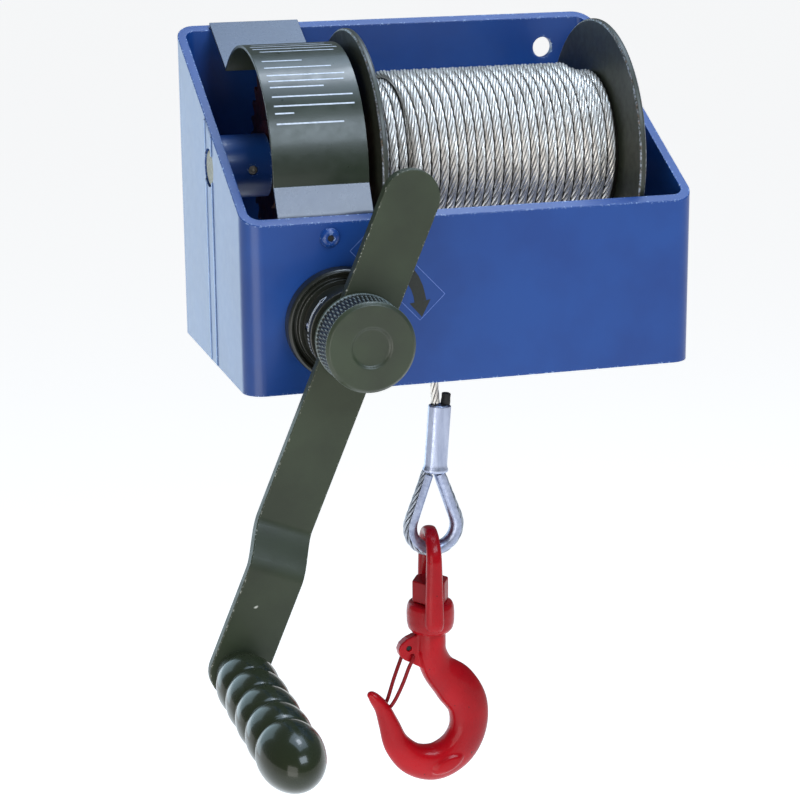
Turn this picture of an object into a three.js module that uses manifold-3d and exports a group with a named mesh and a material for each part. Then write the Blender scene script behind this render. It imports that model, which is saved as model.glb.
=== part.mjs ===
// Wall-mounted worm-gear wire rope winch with an adjustable crank and a swivel hook.
// Millimetres, +X to the right, +Y towards the wall, +Z up. The origin is the middle of the back
// plate's wall face.
import * as THREE from "three";
import { mergeVertices } from "three/addons/utils/BufferGeometryUtils.js";
import Module from "manifold-3d";

const wasm = await Module();
wasm.setup();

// Driving dimensions. Inside the winch, x runs from the left side plate's outer face, y from the
// front plate's outer face and z from the frame's bottom edge.
const width = 250;
const depth = 165;
const frontHeight = 90;
const backHeight = 176;
const plate = 5;
const bendRadius = 11;
const gap = 0.3; // between pieces that touch
const past = 5; // how far a cutting tool runs past the face it cuts

const axleY = 79;
const axleZ = 108.6;
const axleRadius = 10;
const axleRecess = 1.2;
const axleBore = axleRadius + gap;
const bossRadius = 17;
const bossLength = 26;

const mountHoleRadius = 6;
const mountHoles = [[30, 24], [220, 24], [220, 156]];

const crankX = 50.7;
const crankZ = 36.9;
const armAngle = 22.7; // degrees from upright, towards +X at the top
const armWidth = 30;
const armThickness = 6;
const armBack = -29.3;
const armTop = 90;
const gripDrop = 181; // from the crank axis to the grip's axis
const joggle = 15; // how far the arm's lower part stands forward

// Worm drive: one start, right-handed.
const wormModule = 3;
const wheelTeeth = 38;
const wheelPitchRadius = (wormModule * wheelTeeth) / 2;
const wormPitchRadius = axleZ - crankZ - wheelPitchRadius;
const wormLead = Math.PI * wormModule;
const wormTipRadius = wormPitchRadius + 2.5;
const wheelTipRadius = wheelPitchRadius + 2.5;
const wheelRootRadius = wheelPitchRadius - 3.4;
const wheelFace = 27.4;

const flangeRadius = 71.4;
const flangeThickness = 3.8;
const leftFlangeX = 76.9;
const rightFlangeX = 220.6;
const barrelRadius = 28;
const bushOuter = 14;

const ropeRadius = 2.5;
const lowerLayerRadius = 43.7; // outside of the last full layer
const topLayerRadius = 48; // outside of the part-wound top layer
const topLayerStart = 107.5;
const topLayerEnd = 205;
const tangentX = 103.5; // where the rope leaves the drum
const ropeY = axleY - lowerLayerRadius - gap - ropeRadius;

const coverRadius = 63.7; // middle of the sheet
const coverSheet = 1.6;
const coverLeft = 20;
const coverRight = 71.5;

const ferruleX = 113.6;
const ferruleTop = -21.3;
const ferruleLength = 38.6;
const ferruleLean = 4.3; // degrees
const eyeX = 111;
const eyeZ = -90.8; // middle of the thimble's round end
const hookX = 109;
const bowTwist = -8.5; // degrees about the hook's upright axis

const degrees = Math.PI / 180;

// ---- Solids -------------------------------------------------------------------------------------

// A closed geometry as a manifold solid, turned the right way out.
function solidOf(geometry) {
  const bare = geometry.clone();
  bare.deleteAttribute("normal");
  bare.deleteAttribute("uv");
  const merged = mergeVertices(bare, 1e-4);
  const vertProperties = new Float32Array(merged.attributes.position.array);
  const triVerts = new Uint32Array(merged.index.array);
  const made = new wasm.Manifold(new wasm.Mesh({ numProp: 3, vertProperties, triVerts }));
  if (made.volume() > 0) return made;
  triVerts.reverse();
  return new wasm.Manifold(new wasm.Mesh({ numProp: 3, vertProperties, triVerts }));
}

function geometryOf(solid) {
  const mesh = solid.getMesh();
  const geometry = new THREE.BufferGeometry();
  geometry.setAttribute("position", new THREE.BufferAttribute(mesh.vertProperties, 3));
  geometry.setIndex(new THREE.BufferAttribute(mesh.triVerts, 1));
  return geometry;
}

const axisBasis = {
  x: [new THREE.Vector3(0, 1, 0), new THREE.Vector3(0, 0, 1), new THREE.Vector3(1, 0, 0)],
  y: [new THREE.Vector3(0, 0, 1), new THREE.Vector3(1, 0, 0), new THREE.Vector3(0, 1, 0)],
  z: [new THREE.Vector3(1, 0, 0), new THREE.Vector3(0, 1, 0), new THREE.Vector3(0, 0, 1)],
};

// An outline extruded along an axis. The outline's own axes are (y, z) along x, (z, x) along y and
// (x, y) along z.
function prism(axis, outline, from, to, curveSegments = 10, steps = 1) {
  const options = { depth: to - from, bevelEnabled: false, curveSegments, steps };
  const geometry = new THREE.ExtrudeGeometry(outline, options);
  geometry.translate(0, 0, from);
  geometry.applyMatrix4(new THREE.Matrix4().makeBasis(...axisBasis[axis]));
  return solidOf(geometry);
}

// A profile of [radius, distance along the axis] points, spun about the axis.
function revolve(axis, profile, segments = 26) {
  const points = profile.map(([radius, along]) => new THREE.Vector2(radius, along));
  const onAxis = profile[0][0] === 0 && profile.at(-1)[0] === 0;
  if (!onAxis) points.push(points[0].clone());
  const geometry = new THREE.LatheGeometry(points, segments);
  if (axis === "x") geometry.rotateZ(-Math.PI / 2);
  if (axis === "z") geometry.rotateX(Math.PI / 2);
  return solidOf(geometry);
}

function rod(axis, radius, from, to, segments = 20) {
  return revolve(axis, [[0, from], [radius, from], [radius, to], [0, to]], segments);
}

function tube(axis, inner, outer, from, to, segments = 24) {
  return revolve(axis, [[inner, from], [outer, from], [outer, to], [inner, to]], segments);
}

function block(sizeX, sizeY, sizeZ) {
  return solidOf(new THREE.BoxGeometry(sizeX, sizeY, sizeZ));
}

function polygon(points) {
  return new THREE.Shape(points.map(([a, b]) => new THREE.Vector2(a, b)));
}

function hexagon(cornerRadius) {
  const corners = [0, 1, 2, 3, 4, 5].map((k) => (k * Math.PI) / 3);
  return polygon(corners.map((a) => [cornerRadius * Math.cos(a), cornerRadius * Math.sin(a)]));
}

// The outline of a sheet of even thickness whose middle follows the points.
function ribbon(points, thickness) {
  const middle = points.map(([a, b]) => new THREE.Vector2(a, b));
  const side = (sign) =>
    middle.map((point, k) => {
      const before = middle[Math.max(k - 1, 0)];
      const after = middle[Math.min(k + 1, middle.length - 1)];
      const back = (k > 0 ? point.clone().sub(before) : after.clone().sub(point)).normalize();
      const ahead = (k < middle.length - 1 ? after.clone().sub(point) : back.clone()).normalize();
      const along = back.clone().add(ahead).normalize();
      const reach = (sign * thickness) / 2 / along.dot(back);
      return new THREE.Vector2(point.x - along.y * reach, point.y + along.x * reach);
    });
  return new THREE.Shape([...side(1), ...side(-1).reverse()]);
}

// A closed skin over rings of points, with a flat cap at each end.
function skin(rings) {
  const count = rings[0].length;
  const positions = rings.flat().flatMap((point) => [point.x, point.y, point.z]);
  const index = [];
  for (let r = 0; r < rings.length - 1; r++) {
    for (let k = 0; k < count; k++) {
      const next = (k + 1) % count;
      const [a, b] = [r * count + k, r * count + next];
      index.push(a, b, b + count, a, b + count, a + count);
    }
  }
  const last = (rings.length - 1) * count;
  for (let k = 1; k < count - 1; k++) {
    index.push(0, k + 1, k, last, last + k, last + k + 1);
  }
  const geometry = new THREE.BufferGeometry();
  geometry.setAttribute("position", new THREE.Float32BufferAttribute(positions, 3));
  geometry.setIndex(index);
  return solidOf(geometry);
}

// A round tube of rope or wire along a curve.
function ropeAlong(curve, radius, sides, steps) {
  const section = new THREE.Shape();
  section.absarc(0, 0, radius, 0, 2 * Math.PI);
  const options = { extrudePath: curve, steps, curveSegments: sides / 2 };
  return solidOf(new THREE.ExtrudeGeometry(section, options));
}

function arcPoints(centre, radius, fromDegrees, toDegrees, steps) {
  return Array.from({ length: steps + 1 }, (_, k) => {
    const angle = (fromDegrees + ((toDegrees - fromDegrees) * k) / steps) * degrees;
    return [centre[0] + radius * Math.cos(angle), centre[1] + radius * Math.sin(angle)];
  });
}

// ---- Finishes and assemblies --------------------------------------------------------------------

const finishes = {
  bluePaint: { color: 0x2c4f9e, roughness: 0.35, metalness: 0 },
  blackPaint: { color: 0x33372f, roughness: 0.45, metalness: 0 },
  blackPlastic: { color: 0x15160f, roughness: 0.2, metalness: 0 },
  redPaint: { color: 0xb3121f, roughness: 0.35, metalness: 0 },
  steel: { color: 0x9a9ca0, roughness: 0.4, metalness: 1 },
  zinc: { color: 0xb4bccb, roughness: 0.35, metalness: 1 },
  ropeWire: { color: 0xb9bab8, roughness: 0.4, metalness: 1 },
  castIron: { color: 0x4a4038, roughness: 0.6, metalness: 1 },
  bronze: { color: 0xa5803f, roughness: 0.4, metalness: 1 },
  friction: { color: 0x4d463c, roughness: 0.9, metalness: 0 },
  tape: { color: 0x161616, roughness: 0.8, metalness: 0 },
};

function add(group, name, finish, solid) {
  const mesh = new THREE.Mesh(geometryOf(solid), new THREE.MeshStandardMaterial(finishes[finish]));
  mesh.name = name;
  group.add(mesh);
}

function assembly(parent, x, y, z) {
  const group = new THREE.Group();
  group.position.set(x, y, z);
  parent.add(group);
  return group;
}

const winch = new THREE.Group();
const frame = assembly(winch, -width / 2, -depth, -backHeight / 2);
const axle = assembly(frame, 0, axleY, axleZ);
const crank = assembly(frame, crankX, 0, crankZ);
const arm = assembly(crank, 0, 0, 0);
arm.rotation.y = armAngle * degrees;
const grip = assembly(arm, 0, 0, -gripDrop);
const ropeEnd = assembly(frame, 0, ropeY, 0);
const ferrule = assembly(ropeEnd, ferruleX, 0, ferruleTop - ferruleLength / 2);
ferrule.rotation.y = ferruleLean * degrees;
const eye = assembly(ropeEnd, eyeX, 0, eyeZ);
const hook = assembly(ropeEnd, hookX, 0, 0);
const bow = assembly(hook, 0, 0, 0);
bow.rotation.z = bowTwist * degrees;

// ---- Frame --------------------------------------------------------------------------------------

// The frame's top edge is one slanted cut from the back plate down to the front plate.
function topAt(y) {
  return frontHeight + ((backHeight - frontHeight) * y) / depth;
}

function aboveTop() {
  const high = backHeight * 2;
  const [near, far] = [-past, depth + past];
  return prism("x", polygon([[near, topAt(near)], [far, topAt(far)], [far, high], [near, high]]),
    -past, width + past);
}

// Half of the frame, bent from one plate: outline in (x, distance from the bent face).
function bentPlate(reach) {
  const inner = bendRadius - plate;
  const outline = new THREE.Shape();
  outline.moveTo(0, reach);
  outline.absarc(bendRadius, bendRadius, bendRadius, Math.PI, 1.5 * Math.PI);
  outline.absarc(width - bendRadius, bendRadius, bendRadius, 1.5 * Math.PI, 2 * Math.PI);
  outline.lineTo(width, reach);
  outline.lineTo(width - plate, reach);
  outline.absarc(width - bendRadius, bendRadius, inner, 2 * Math.PI, 1.5 * Math.PI, true);
  outline.absarc(bendRadius, bendRadius, inner, 1.5 * Math.PI, Math.PI, true);
  outline.lineTo(plate, reach);
  return prism("z", outline, 0, backHeight + past, 4);
}

function sideBores() {
  return rod("x", axleBore, -past, width + past, 24).translate([0, axleY, axleZ]);
}

const flangeScrewCircle = 23.5;
const flangeScrewAngles = [90, 210, 330];
const coverScrewZ = 82;
const coverScrewX = (coverLeft + coverRight) / 2;

function atFlangeScrew(solid, angle) {
  const x = crankX + flangeScrewCircle * Math.cos(angle * degrees);
  const z = crankZ + flangeScrewCircle * Math.sin(angle * degrees);
  return solid.translate([x, 0, z]);
}

function frontShell() {
  let shell = bentPlate(axleY - gap / 2).subtract(aboveTop()).subtract(sideBores());
  shell = shell.subtract(rod("y", 18.3, -past, 2 * past, 32).translate([crankX, 0, crankZ]));
  shell = shell.subtract(rod("y", 3.2, -past, 2 * past, 12).translate([coverScrewX, 0, coverScrewZ]));
  for (const angle of flangeScrewAngles) {
    shell = shell.subtract(atFlangeScrew(rod("y", 2.9, -past, 2 * past, 10), angle));
  }
  return shell;
}

function backShell() {
  const mirrored = bentPlate(depth - axleY - gap / 2).mirror([0, 1, 0]).translate([0, depth, 0]);
  let shell = mirrored.subtract(aboveTop()).subtract(sideBores());
  for (const [x, z] of mountHoles) {
    const hole = rod("y", mountHoleRadius, depth - 2 * plate, depth + past, 16);
    shell = shell.subtract(hole.translate([x, 0, z]));
  }
  return shell;
}

// A flat bead closes the seam between the two halves, below and above the axle's bore.
const seamHalfWidth = 8.5;
const seamThickness = 0.8;

function lowerSeam(fromX) {
  const [near, far] = [axleY - seamHalfWidth, axleY + seamHalfWidth];
  const outline = polygon([[near, 1], [far, 1], [far, axleZ], [near, axleZ]]);
  return prism("x", outline, fromX, fromX + seamThickness).subtract(sideBores());
}

function upperSeam(fromX) {
  const [near, far] = [axleY - seamHalfWidth, axleY + seamHalfWidth];
  const outline = polygon([[near, axleZ], [far, axleZ], [far, topAt(far) - 1], [near, topAt(near) - 1]]);
  return prism("x", outline, fromX, fromX + seamThickness).subtract(sideBores());
}

// A boss carries each end of the axle. A set screw in the left one stops the axle turning.
const setScrewX = 20.5;

function boss(from, to) {
  return tube("x", axleBore, bossRadius, from, to);
}

function leftBoss() {
  const hole = rod("y", 2.6, -bossRadius - past, 0, 16).translate([setScrewX, 0, 0]);
  return boss(plate + gap, plate + bossLength).subtract(hole);
}

function axleSetScrew() {
  const screw = rod("y", 2.3, -bossRadius + 1.5, -axleRadius - gap, 16);
  const socket = prism("y", hexagon(1.3), -bossRadius, -bossRadius + 4);
  return screw.subtract(socket).translate([setScrewX, 0, 0]);
}

function drumAxle() {
  const chamfer = 1;
  const [from, to] = [axleRecess, width - axleRecess];
  const ends = [[axleRadius - chamfer, from], [axleRadius, from + chamfer],
    [axleRadius, to - chamfer], [axleRadius - chamfer, to]];
  return revolve("x", [[0, from], ...ends, [0, to]]);
}

add(frame, "front_shell", "bluePaint", frontShell());
add(frame, "back_shell", "bluePaint", backShell());
for (const [side, fromX] of [["left", -gap - seamThickness], ["right", width + gap]]) {
  add(frame, `seam_${side}_lower`, "bluePaint", lowerSeam(fromX));
  add(frame, `seam_${side}_upper`, "bluePaint", upperSeam(fromX));
}
add(axle, "boss_left", "bluePaint", leftBoss());
add(axle, "boss_right", "bluePaint", boss(rightFlangeX + flangeThickness + 3, width - plate - gap));
add(axle, "axle_set_screw", "steel", axleSetScrew());
add(axle, "drum_axle", "steel", drumAxle());

// ---- Gear cover ---------------------------------------------------------------------------------

// One strap: a tab behind the front plate, a slanted foot, an arc round the worm wheel, and a strip
// up to the back plate's top edge.
const tabY = plate + 1.1 + coverSheet / 2;
const footTopZ = 106.8;
const arcEndDegrees = 47;

function coverPath() {
  const tab = [[tabY - axleY, 72 - axleZ], [tabY - axleY, 91.5 - axleZ]];
  const startDegrees = 180 + Math.asin((axleZ - footTopZ) / coverRadius) / degrees;
  const arc = arcPoints([0, 0], coverRadius, startDegrees, arcEndDegrees, 18);
  const endY = depth - 2;
  const rear = [[endY - axleY, topAt(endY) + gap + coverSheet - axleZ]];
  return [...tab, ...arc, ...rear];
}

function gearCover() {
  const hole = rod("y", 3.2, -axleY, -axleY + 3 * past, 16)
    .translate([coverScrewX, 0, coverScrewZ - axleZ]);
  return prism("x", ribbon(coverPath(), coverSheet), coverLeft, coverRight).subtract(hole);
}

function coverScrew() {
  const head = [[0, -3.3], [2.6, -3.1], [4.3, -2.2], [5.2, -gap], [2.8, -gap]];
  const screw = revolve("y", [...head, [2.8, 14], [0, 14]], 24);
  return screw.subtract(prism("y", hexagon(1.9), -4, -1.6)).translate([coverScrewX, 0, coverScrewZ]);
}

function coverNut() {
  const from = tabY + coverSheet / 2 + gap;
  const nut = prism("y", hexagon(5.6), from, from + 4).subtract(rod("y", 3.1, from - 1, from + past, 16));
  return nut.translate([coverScrewX, 0, coverScrewZ]);
}

add(axle, "gear_cover", "blackPaint", gearCover());
add(frame, "cover_screw", "bluePaint", coverScrew());
add(frame, "cover_nut", "steel", coverNut());

// ---- Worm bearings ------------------------------------------------------------------------------

const flangeFront = -8.3;
const hubBack = -10.1;
const journalRadius = 10;
const rearJournalRadius = 8;
const bracketY = 122;
const bracketThickness = 6;

function bearingFlange() {
  const lip = [[29.7, -gap], [29.7, -6.3], [29, -7.7], [28, flangeFront], [27.2, -7.8], [26.6, -5.8]];
  const face = [[24.6, -5.6], [24.4, flangeFront], [13.3, flangeFront]];
  let flange = revolve("y", [[13.3, 14], [18, 14], [18, -gap], ...lip, ...face], 32);
  flange = flange.translate([crankX, 0, crankZ]);
  for (const angle of flangeScrewAngles) {
    flange = flange.subtract(atFlangeScrew(rod("y", 2.8, -4.5, past, 10), angle));
  }
  return flange;
}

function flangeScrew(angle) {
  const head = prism("y", hexagon(4.6), plate + gap, plate + 3.8);
  return atFlangeScrew(head.add(rod("y", 2.5, -4.2, plate + 1, 10)), angle);
}

function wormBracket() {
  const outline = polygon([[14, plate + gap], [14, 66], [20, 72], [54, 72], [60, 66], [60, 30], [84, 14],
    [84, plate + gap]]);
  const bore = rod("y", 13.3, bracketY - past, bracketY + 3 * past).translate([crankX, 0, crankZ]);
  return prism("y", outline, bracketY, bracketY + bracketThickness).subtract(bore);
}

add(frame, "bearing_flange", "blackPaint", bearingFlange());
flangeScrewAngles.forEach((angle, k) => add(frame, `flange_screw_${k + 1}`, "steel", flangeScrew(angle)));
add(crank, "front_bush", "bronze", tube("y", journalRadius + gap, 13, flangeFront + 0.2, 13.5));
add(frame, "worm_bracket", "bluePaint", wormBracket());
add(crank, "rear_bush", "bronze",
  tube("y", rearJournalRadius + gap, 13, bracketY - 0.5, bracketY + bracketThickness + 0.5));

// ---- Worm shaft and crank hub -------------------------------------------------------------------

const wormStart = 55;
const wormEnd = 103;
const wormCore = 10.8;
const shaftFront = -24.7;
const ringGroove = 131.5;

// The thread's ridge, centred on the wheel's axis at the top of the worm.
function wormThread() {
  const [root, rootHalf, tipHalf] = [wormCore - 0.8, 3.2, 1.2];
  const stepsPerTurn = 12;
  const turns = (wormEnd - wormStart - 2 * rootHalf) / wormLead;
  const steps = Math.round(turns * stepsPerTurn);
  const rings = Array.from({ length: steps + 1 }, (_, k) => {
    const turn = ((k / steps - 0.5) * turns) * 2 * Math.PI;
    const y = axleY + (turn / (2 * Math.PI)) * wormLead;
    const at = (radius, along) =>
      new THREE.Vector3(radius * Math.sin(turn), y + along, radius * Math.cos(turn));
    return [at(root, -rootHalf), at(wormTipRadius, -tipHalf), at(wormTipRadius, tipHalf),
      at(root, rootHalf)];
  });
  return skin(rings);
}

function wormShaft() {
  const front = [[0, shaftFront], [8, shaftFront], [8, hubBack + gap], [journalRadius, hubBack + gap],
    [journalRadius, 20], [13, 20], [13, 24], [9.5, 24], [9.5, wormStart - 3]];
  const worm = [[wormCore, wormStart - 1], [wormCore, wormEnd + 1], [9.5, wormEnd + 3], [9.5, 118]];
  const rear = [[rearJournalRadius, 118], [rearJournalRadius, ringGroove], [7, ringGroove],
    [7, ringGroove + 1.8], [rearJournalRadius, ringGroove + 1.8], [rearJournalRadius, 138], [0, 138]];
  return revolve("y", [...front, ...worm, ...rear], 18).add(wormThread());
}

const hubRadius = 22.6;
const cheekRadius = 19;
const cheekFront = -49.7;
const hubScrewTilt = -14; // degrees about the crank axis

function hubScrewHole() {
  return rod("x", 2.7, -hubRadius - past, -rearJournalRadius, 16).translate([0, -16.5, 0])
    .rotate([0, hubScrewTilt, 0]);
}

// The hub's two cheeks stand either side of the arm and carry the clamping knob's thread.
function crankHub() {
  const front = armBack + gap;
  const profile = [[0, shaftFront - gap], [8.3, shaftFront - gap], [8.3, hubBack], [21.6, hubBack],
    [hubRadius, hubBack - 1], [hubRadius, -23.5], [21.8, -23.9], [21.8, -24.7], [23.4, -25.2],
    [23.4, front + 0.6], [22.8, front], [0, front]];
  const slot = block(armWidth + 2 * gap, 60, 3 * hubRadius);
  const cheeks = rod("y", cheekRadius, cheekFront, front + 1, 28).subtract(slot.translate([0, -42, 0]));
  return revolve("y", profile, 32).add(cheeks).subtract(hubScrewHole());
}

function hubScrew() {
  const screw = rod("x", 2.4, -hubRadius + 0.6, -14, 16);
  const socket = prism("x", hexagon(1.3), -hubRadius - 1, -hubRadius + 3);
  return screw.subtract(socket).translate([0, -16.5, 0]).rotate([0, hubScrewTilt, 0]);
}

add(crank, "worm_shaft", "steel", wormShaft());
add(crank, "retaining_ring", "steel", tube("y", 7.3, 11, ringGroove + gap, ringGroove + 1.5));
add(crank, "friction_washer", "friction",
  tube("y", journalRadius + gap, 22, hubBack + gap, flangeFront - gap));
add(arm, "crank_hub", "blackPaint", crankHub());
add(arm, "hub_screw", "steel", hubScrew());

// ---- Crank arm, knob and grip -------------------------------------------------------------------

const armFront = armBack - armThickness;
const joggleStart = 104;
const joggleEnd = 128;

function crankArm() {
  const middle = armBack - armThickness / 2;
  const path = [[armTop, middle], [-joggleStart, middle], [-joggleEnd, middle - joggle],
    [-gripDrop - armWidth / 2, middle - joggle]];
  const bar = prism("x", ribbon(path.map(([z, y]) => [y, z]), armThickness), -armWidth / 2, armWidth / 2);
  const half = armWidth / 2;
  const plan = new THREE.Shape();
  plan.absarc(armTop - half, 0, half, -Math.PI / 2, Math.PI / 2);
  plan.absarc(-gripDrop, 0, half, Math.PI / 2, 1.5 * Math.PI);
  const rounded = bar.intersect(prism("y", plan, armBack - 40, armBack + past, 8));
  return rounded.subtract(rod("y", 5.3, armBack - 40, armBack + past, 16).translate([0, 0, -gripDrop]));
}

// The knob screws over the hub's cheeks, and its middle presses on the arm.
const knobRadius = 23.4;
const knobFront = -60.4;

function clampKnob() {
  const face = [[0, knobFront + 1.1], [9.6, knobFront + 1.1], [10.6, knobFront], [22.2, knobFront]];
  const side = [[knobRadius, knobFront + 1.2], [knobRadius, -38.2], [22.8, -37.8], [22.8, -37.2],
    [24, -36.8], [24, -35.8]];
  const inside = [[cheekRadius + gap, -35.8], [cheekRadius + gap, cheekFront - gap],
    [12, cheekFront - gap], [12, armFront - gap], [0, armFront - gap]];
  return revolve("y", [...face, ...side, ...inside], 32);
}

const gripBase = -54.3;
const gripEnd = -185;
const gripRingStart = -60.6;
const gripRings = 4;
const gripRingPitch = 21.9;
const gripNeck = 12.3;
const gripSwell = 15.6;

// Past a short neck the grip's rings swell evenly, and its end is a dome.
function gripProfile() {
  const pointsPerRing = 4;
  const rings = Array.from({ length: gripRings * pointsPerRing + 1 }, (_, k) => {
    const swell = Math.sin((k / pointsPerRing) * Math.PI) ** 2;
    return [gripNeck + (gripSwell - gripNeck) * swell ** 0.7, gripRingStart - (k / pointsPerRing) * gripRingPitch];
  });
  const domeBase = gripRingStart - gripRings * gripRingPitch;
  const domeMiddle = (domeBase + gripEnd) / 2;
  const dome = arcPoints([0, domeMiddle], 1, 140, 270, 7).map(([a, b], k, all) => {
    const angle = 140 + (130 * k) / (all.length - 1);
    const radius = -16.4 * Math.cos(angle * degrees);
    return [k === all.length - 1 ? 0 : radius, domeMiddle + (b - domeMiddle) * ((domeBase - gripEnd) / 2)];
  });
  return [...rings, ...dome];
}

function gripBody() {
  const bore = rod("y", 5.3, gripEnd + 9, gripBase + past, 20);
  return revolve("y", [[0, gripBase], [gripNeck, gripBase], ...gripProfile()], 20).subtract(bore);
}

function gripSpindle() {
  const behind = armBack - joggle + gap;
  const profile = [[0, behind + 3], [7, behind + 3], [9, behind + 1.5], [9, behind], [5, behind],
    [5, gripEnd + 9.5], [0, gripEnd + 9.5]];
  return revolve("y", profile, 16);
}

add(arm, "crank_arm", "blackPaint", crankArm());
add(arm, "clamp_knob", "blackPaint", clampKnob());
add(grip, "grip_spindle", "steel", gripSpindle());
add(grip, "grip_collar", "blackPaint", tube("y", 5.3, 11.5, gripBase + gap, armFront - joggle - gap));
add(grip, "grip", "blackPlastic", gripBody());

// ---- Drum ---------------------------------------------------------------------------------------

// Helical teeth: the outline turns about the axle as it runs along x, and a gap between two teeth is
// straight below the axle at the worm's axis.
function wheelOutline() {
  const toothAngle = (2 * Math.PI) / wheelTeeth;
  const halves = [[wheelRootRadius, 3.05], [wheelTipRadius, 0.95]];
  const corners = [];
  for (let tooth = 0; tooth < wheelTeeth; tooth++) {
    const middle = -Math.PI / 2 + (tooth + 0.5) * toothAngle;
    for (const [[radius, half], sign] of [[halves[0], -1], [halves[1], -1], [halves[1], 1], [halves[0], 1]]) {
      const angle = middle + (sign * half) / radius;
      corners.push([radius * Math.cos(angle), radius * Math.sin(angle)]);
    }
  }
  return polygon(corners);
}

function wormWheel() {
  const leadTangent = wormLead / (2 * Math.PI * wormPitchRadius);
  const geometry = new THREE.ExtrudeGeometry(wheelOutline(), {
    depth: wheelFace, bevelEnabled: false, steps: 2,
  });
  geometry.translate(0, 0, -wheelFace / 2);
  const position = geometry.attributes.position;
  const point = new THREE.Vector3();
  const alongAxle = new THREE.Vector3(0, 0, 1);
  for (let k = 0; k < position.count; k++) {
    point.fromBufferAttribute(position, k);
    point.applyAxisAngle(alongAxle, (point.z * leadTangent) / wheelPitchRadius);
    position.setXYZ(k, point.x, point.y, point.z);
  }
  geometry.applyMatrix4(new THREE.Matrix4().makeBasis(...axisBasis.x));
  geometry.translate(crankX, 0, 0);
  const hub = rod("x", 24, plate + bossLength + 1, leftFlangeX - gap);
  return solidOf(geometry).add(hub).subtract(rod("x", bushOuter + gap, 0, width));
}

function drumFlange(from) {
  const to = from + flangeThickness;
  const edge = 0.9;
  const rim = [[flangeRadius - edge, from], [flangeRadius, from + edge], [flangeRadius, to - edge],
    [flangeRadius - edge, to]];
  return revolve("x", [[bushOuter + gap, from], ...rim, [bushOuter + gap, to]], 40);
}

function woundRope() {
  const from = leftFlangeX + flangeThickness + 2 * gap;
  const to = rightFlangeX - 2 * gap;
  const inner = barrelRadius + gap;
  return revolve("x", [[inner, from], [lowerLayerRadius, from], [lowerLayerRadius, topLayerStart],
    [topLayerRadius, topLayerStart], [topLayerRadius, topLayerEnd], [lowerLayerRadius, topLayerEnd],
    [lowerLayerRadius, to], [inner, to]], 32);
}

// The rope's inner end lies under a clamp on the right flange's outer face, below the axle at rest.
const clampZ = -56;
const clampFace = rightFlangeX + flangeThickness + gap;
const clampScrewOffset = 9;

function ropeTail() {
  return rod("y", ropeRadius, -16, 16, 12).translate([clampFace + ropeRadius, 0, clampZ]);
}

function ropeClamp() {
  let clamp = block(6, 26, 24).translate([clampFace + 3 + 0.5, 0, clampZ]);
  clamp = clamp.subtract(block(6.4, 30, 5.8).translate([clampFace + 2.2, 0, clampZ]));
  for (const side of [-1, 1]) {
    const hole = rod("x", 2.8, clampFace - past, clampFace + 3 * past, 16);
    clamp = clamp.subtract(hole.translate([0, 0, clampZ + side * clampScrewOffset]));
  }
  return clamp;
}

function clampScrew(side) {
  const face = clampFace + 6.5 + gap;
  const screw = prism("x", hexagon(4.6), face, face + 3.5).add(rod("x", 2.5, clampFace, face + 1, 16));
  return screw.translate([0, 0, clampZ + side * clampScrewOffset]);
}

add(axle, "worm_wheel", "castIron", wormWheel());
add(axle, "drum_flange_left", "blackPaint", drumFlange(leftFlangeX));
add(axle, "drum_flange_right", "blackPaint", drumFlange(rightFlangeX));
add(axle, "drum_barrel", "blackPaint",
  tube("x", bushOuter + gap, barrelRadius, leftFlangeX + flangeThickness + gap, rightFlangeX - gap));
add(axle, "drum_bush_left", "bronze", tube("x", axleBore, bushOuter, plate + bossLength + 1, 110));
add(axle, "drum_bush_right", "bronze",
  tube("x", axleBore, bushOuter, 190, rightFlangeX + flangeThickness + 2));
add(axle, "wound_rope", "ropeWire", woundRope());
add(axle, "rope_tail", "ropeWire", ropeTail());
add(axle, "rope_clamp", "steel", ropeClamp());
add(axle, "clamp_screw_1", "steel", clampScrew(1));
add(axle, "clamp_screw_2", "steel", clampScrew(-1));

// ---- Hanging rope, ferrule and thimble ----------------------------------------------------------

function freeRope() {
  const start = new THREE.Vector3(tangentX, 0, axleZ);
  const end = new THREE.Vector3(ferruleX - 1.1, 0, ferruleTop + 0.5);
  return ropeAlong(new THREE.LineCurve3(start, end), ropeRadius, 8, 11);
}

function ellipseRing(radiusX, radiusY, z, count = 16) {
  return Array.from({ length: count }, (_, k) => {
    const angle = (k / count) * 2 * Math.PI;
    return new THREE.Vector3(radiusX * Math.cos(angle), radiusY * Math.sin(angle), z);
  });
}

function pressedFerrule() {
  const half = ferruleLength / 2;
  const stations = [[6.1, 4.4, half], [6.5, 4.8, half - 1], [6.5, 4.8, -half + 3.5], [7.3, 5.3, -half + 2],
    [7.2, 5.2, -half + 0.8], [6, 4.4, -half]];
  return skin(stations.map(([radiusX, radiusY, z]) => ellipseRing(radiusX, radiusY, z)));
}

function tapedEnd() {
  const half = ferruleLength / 2;
  return rod("z", 2.8, half + gap, half + 6.5, 12).translate([3.1, 0, 0]);
}

// Where a line from a point above a circle touches it: the angle of the touching point.
function touchAngle(radius, halfTop, top) {
  const fromMiddle = Math.atan2(top, halfTop) / degrees;
  return fromMiddle - Math.acos(radius / Math.hypot(halfTop, top)) / degrees;
}

function teardrop(radius, halfTop, top) {
  const touch = touchAngle(radius, halfTop, top);
  const around = arcPoints([0, 0], radius, touch, -180 - touch, 14);
  return halfTop > 0 ? [[halfTop, top], ...around, [-halfTop, top]] : [[0, top], ...around];
}

const eyeRopeRadius = 15.1;
const eyeTop = -61.8 - eyeZ;

function eyeRope() {
  const outline = teardrop(eyeRopeRadius, 5.2, eyeTop);
  const curve = new THREE.CatmullRomCurve3(outline.map(([x, z]) => new THREE.Vector3(x, 0, z)));
  return ropeAlong(curve, ropeRadius, 8, 26);
}

const thimbleInner = 9.8;
const thimbleHalfWidth = 4.25;

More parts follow.
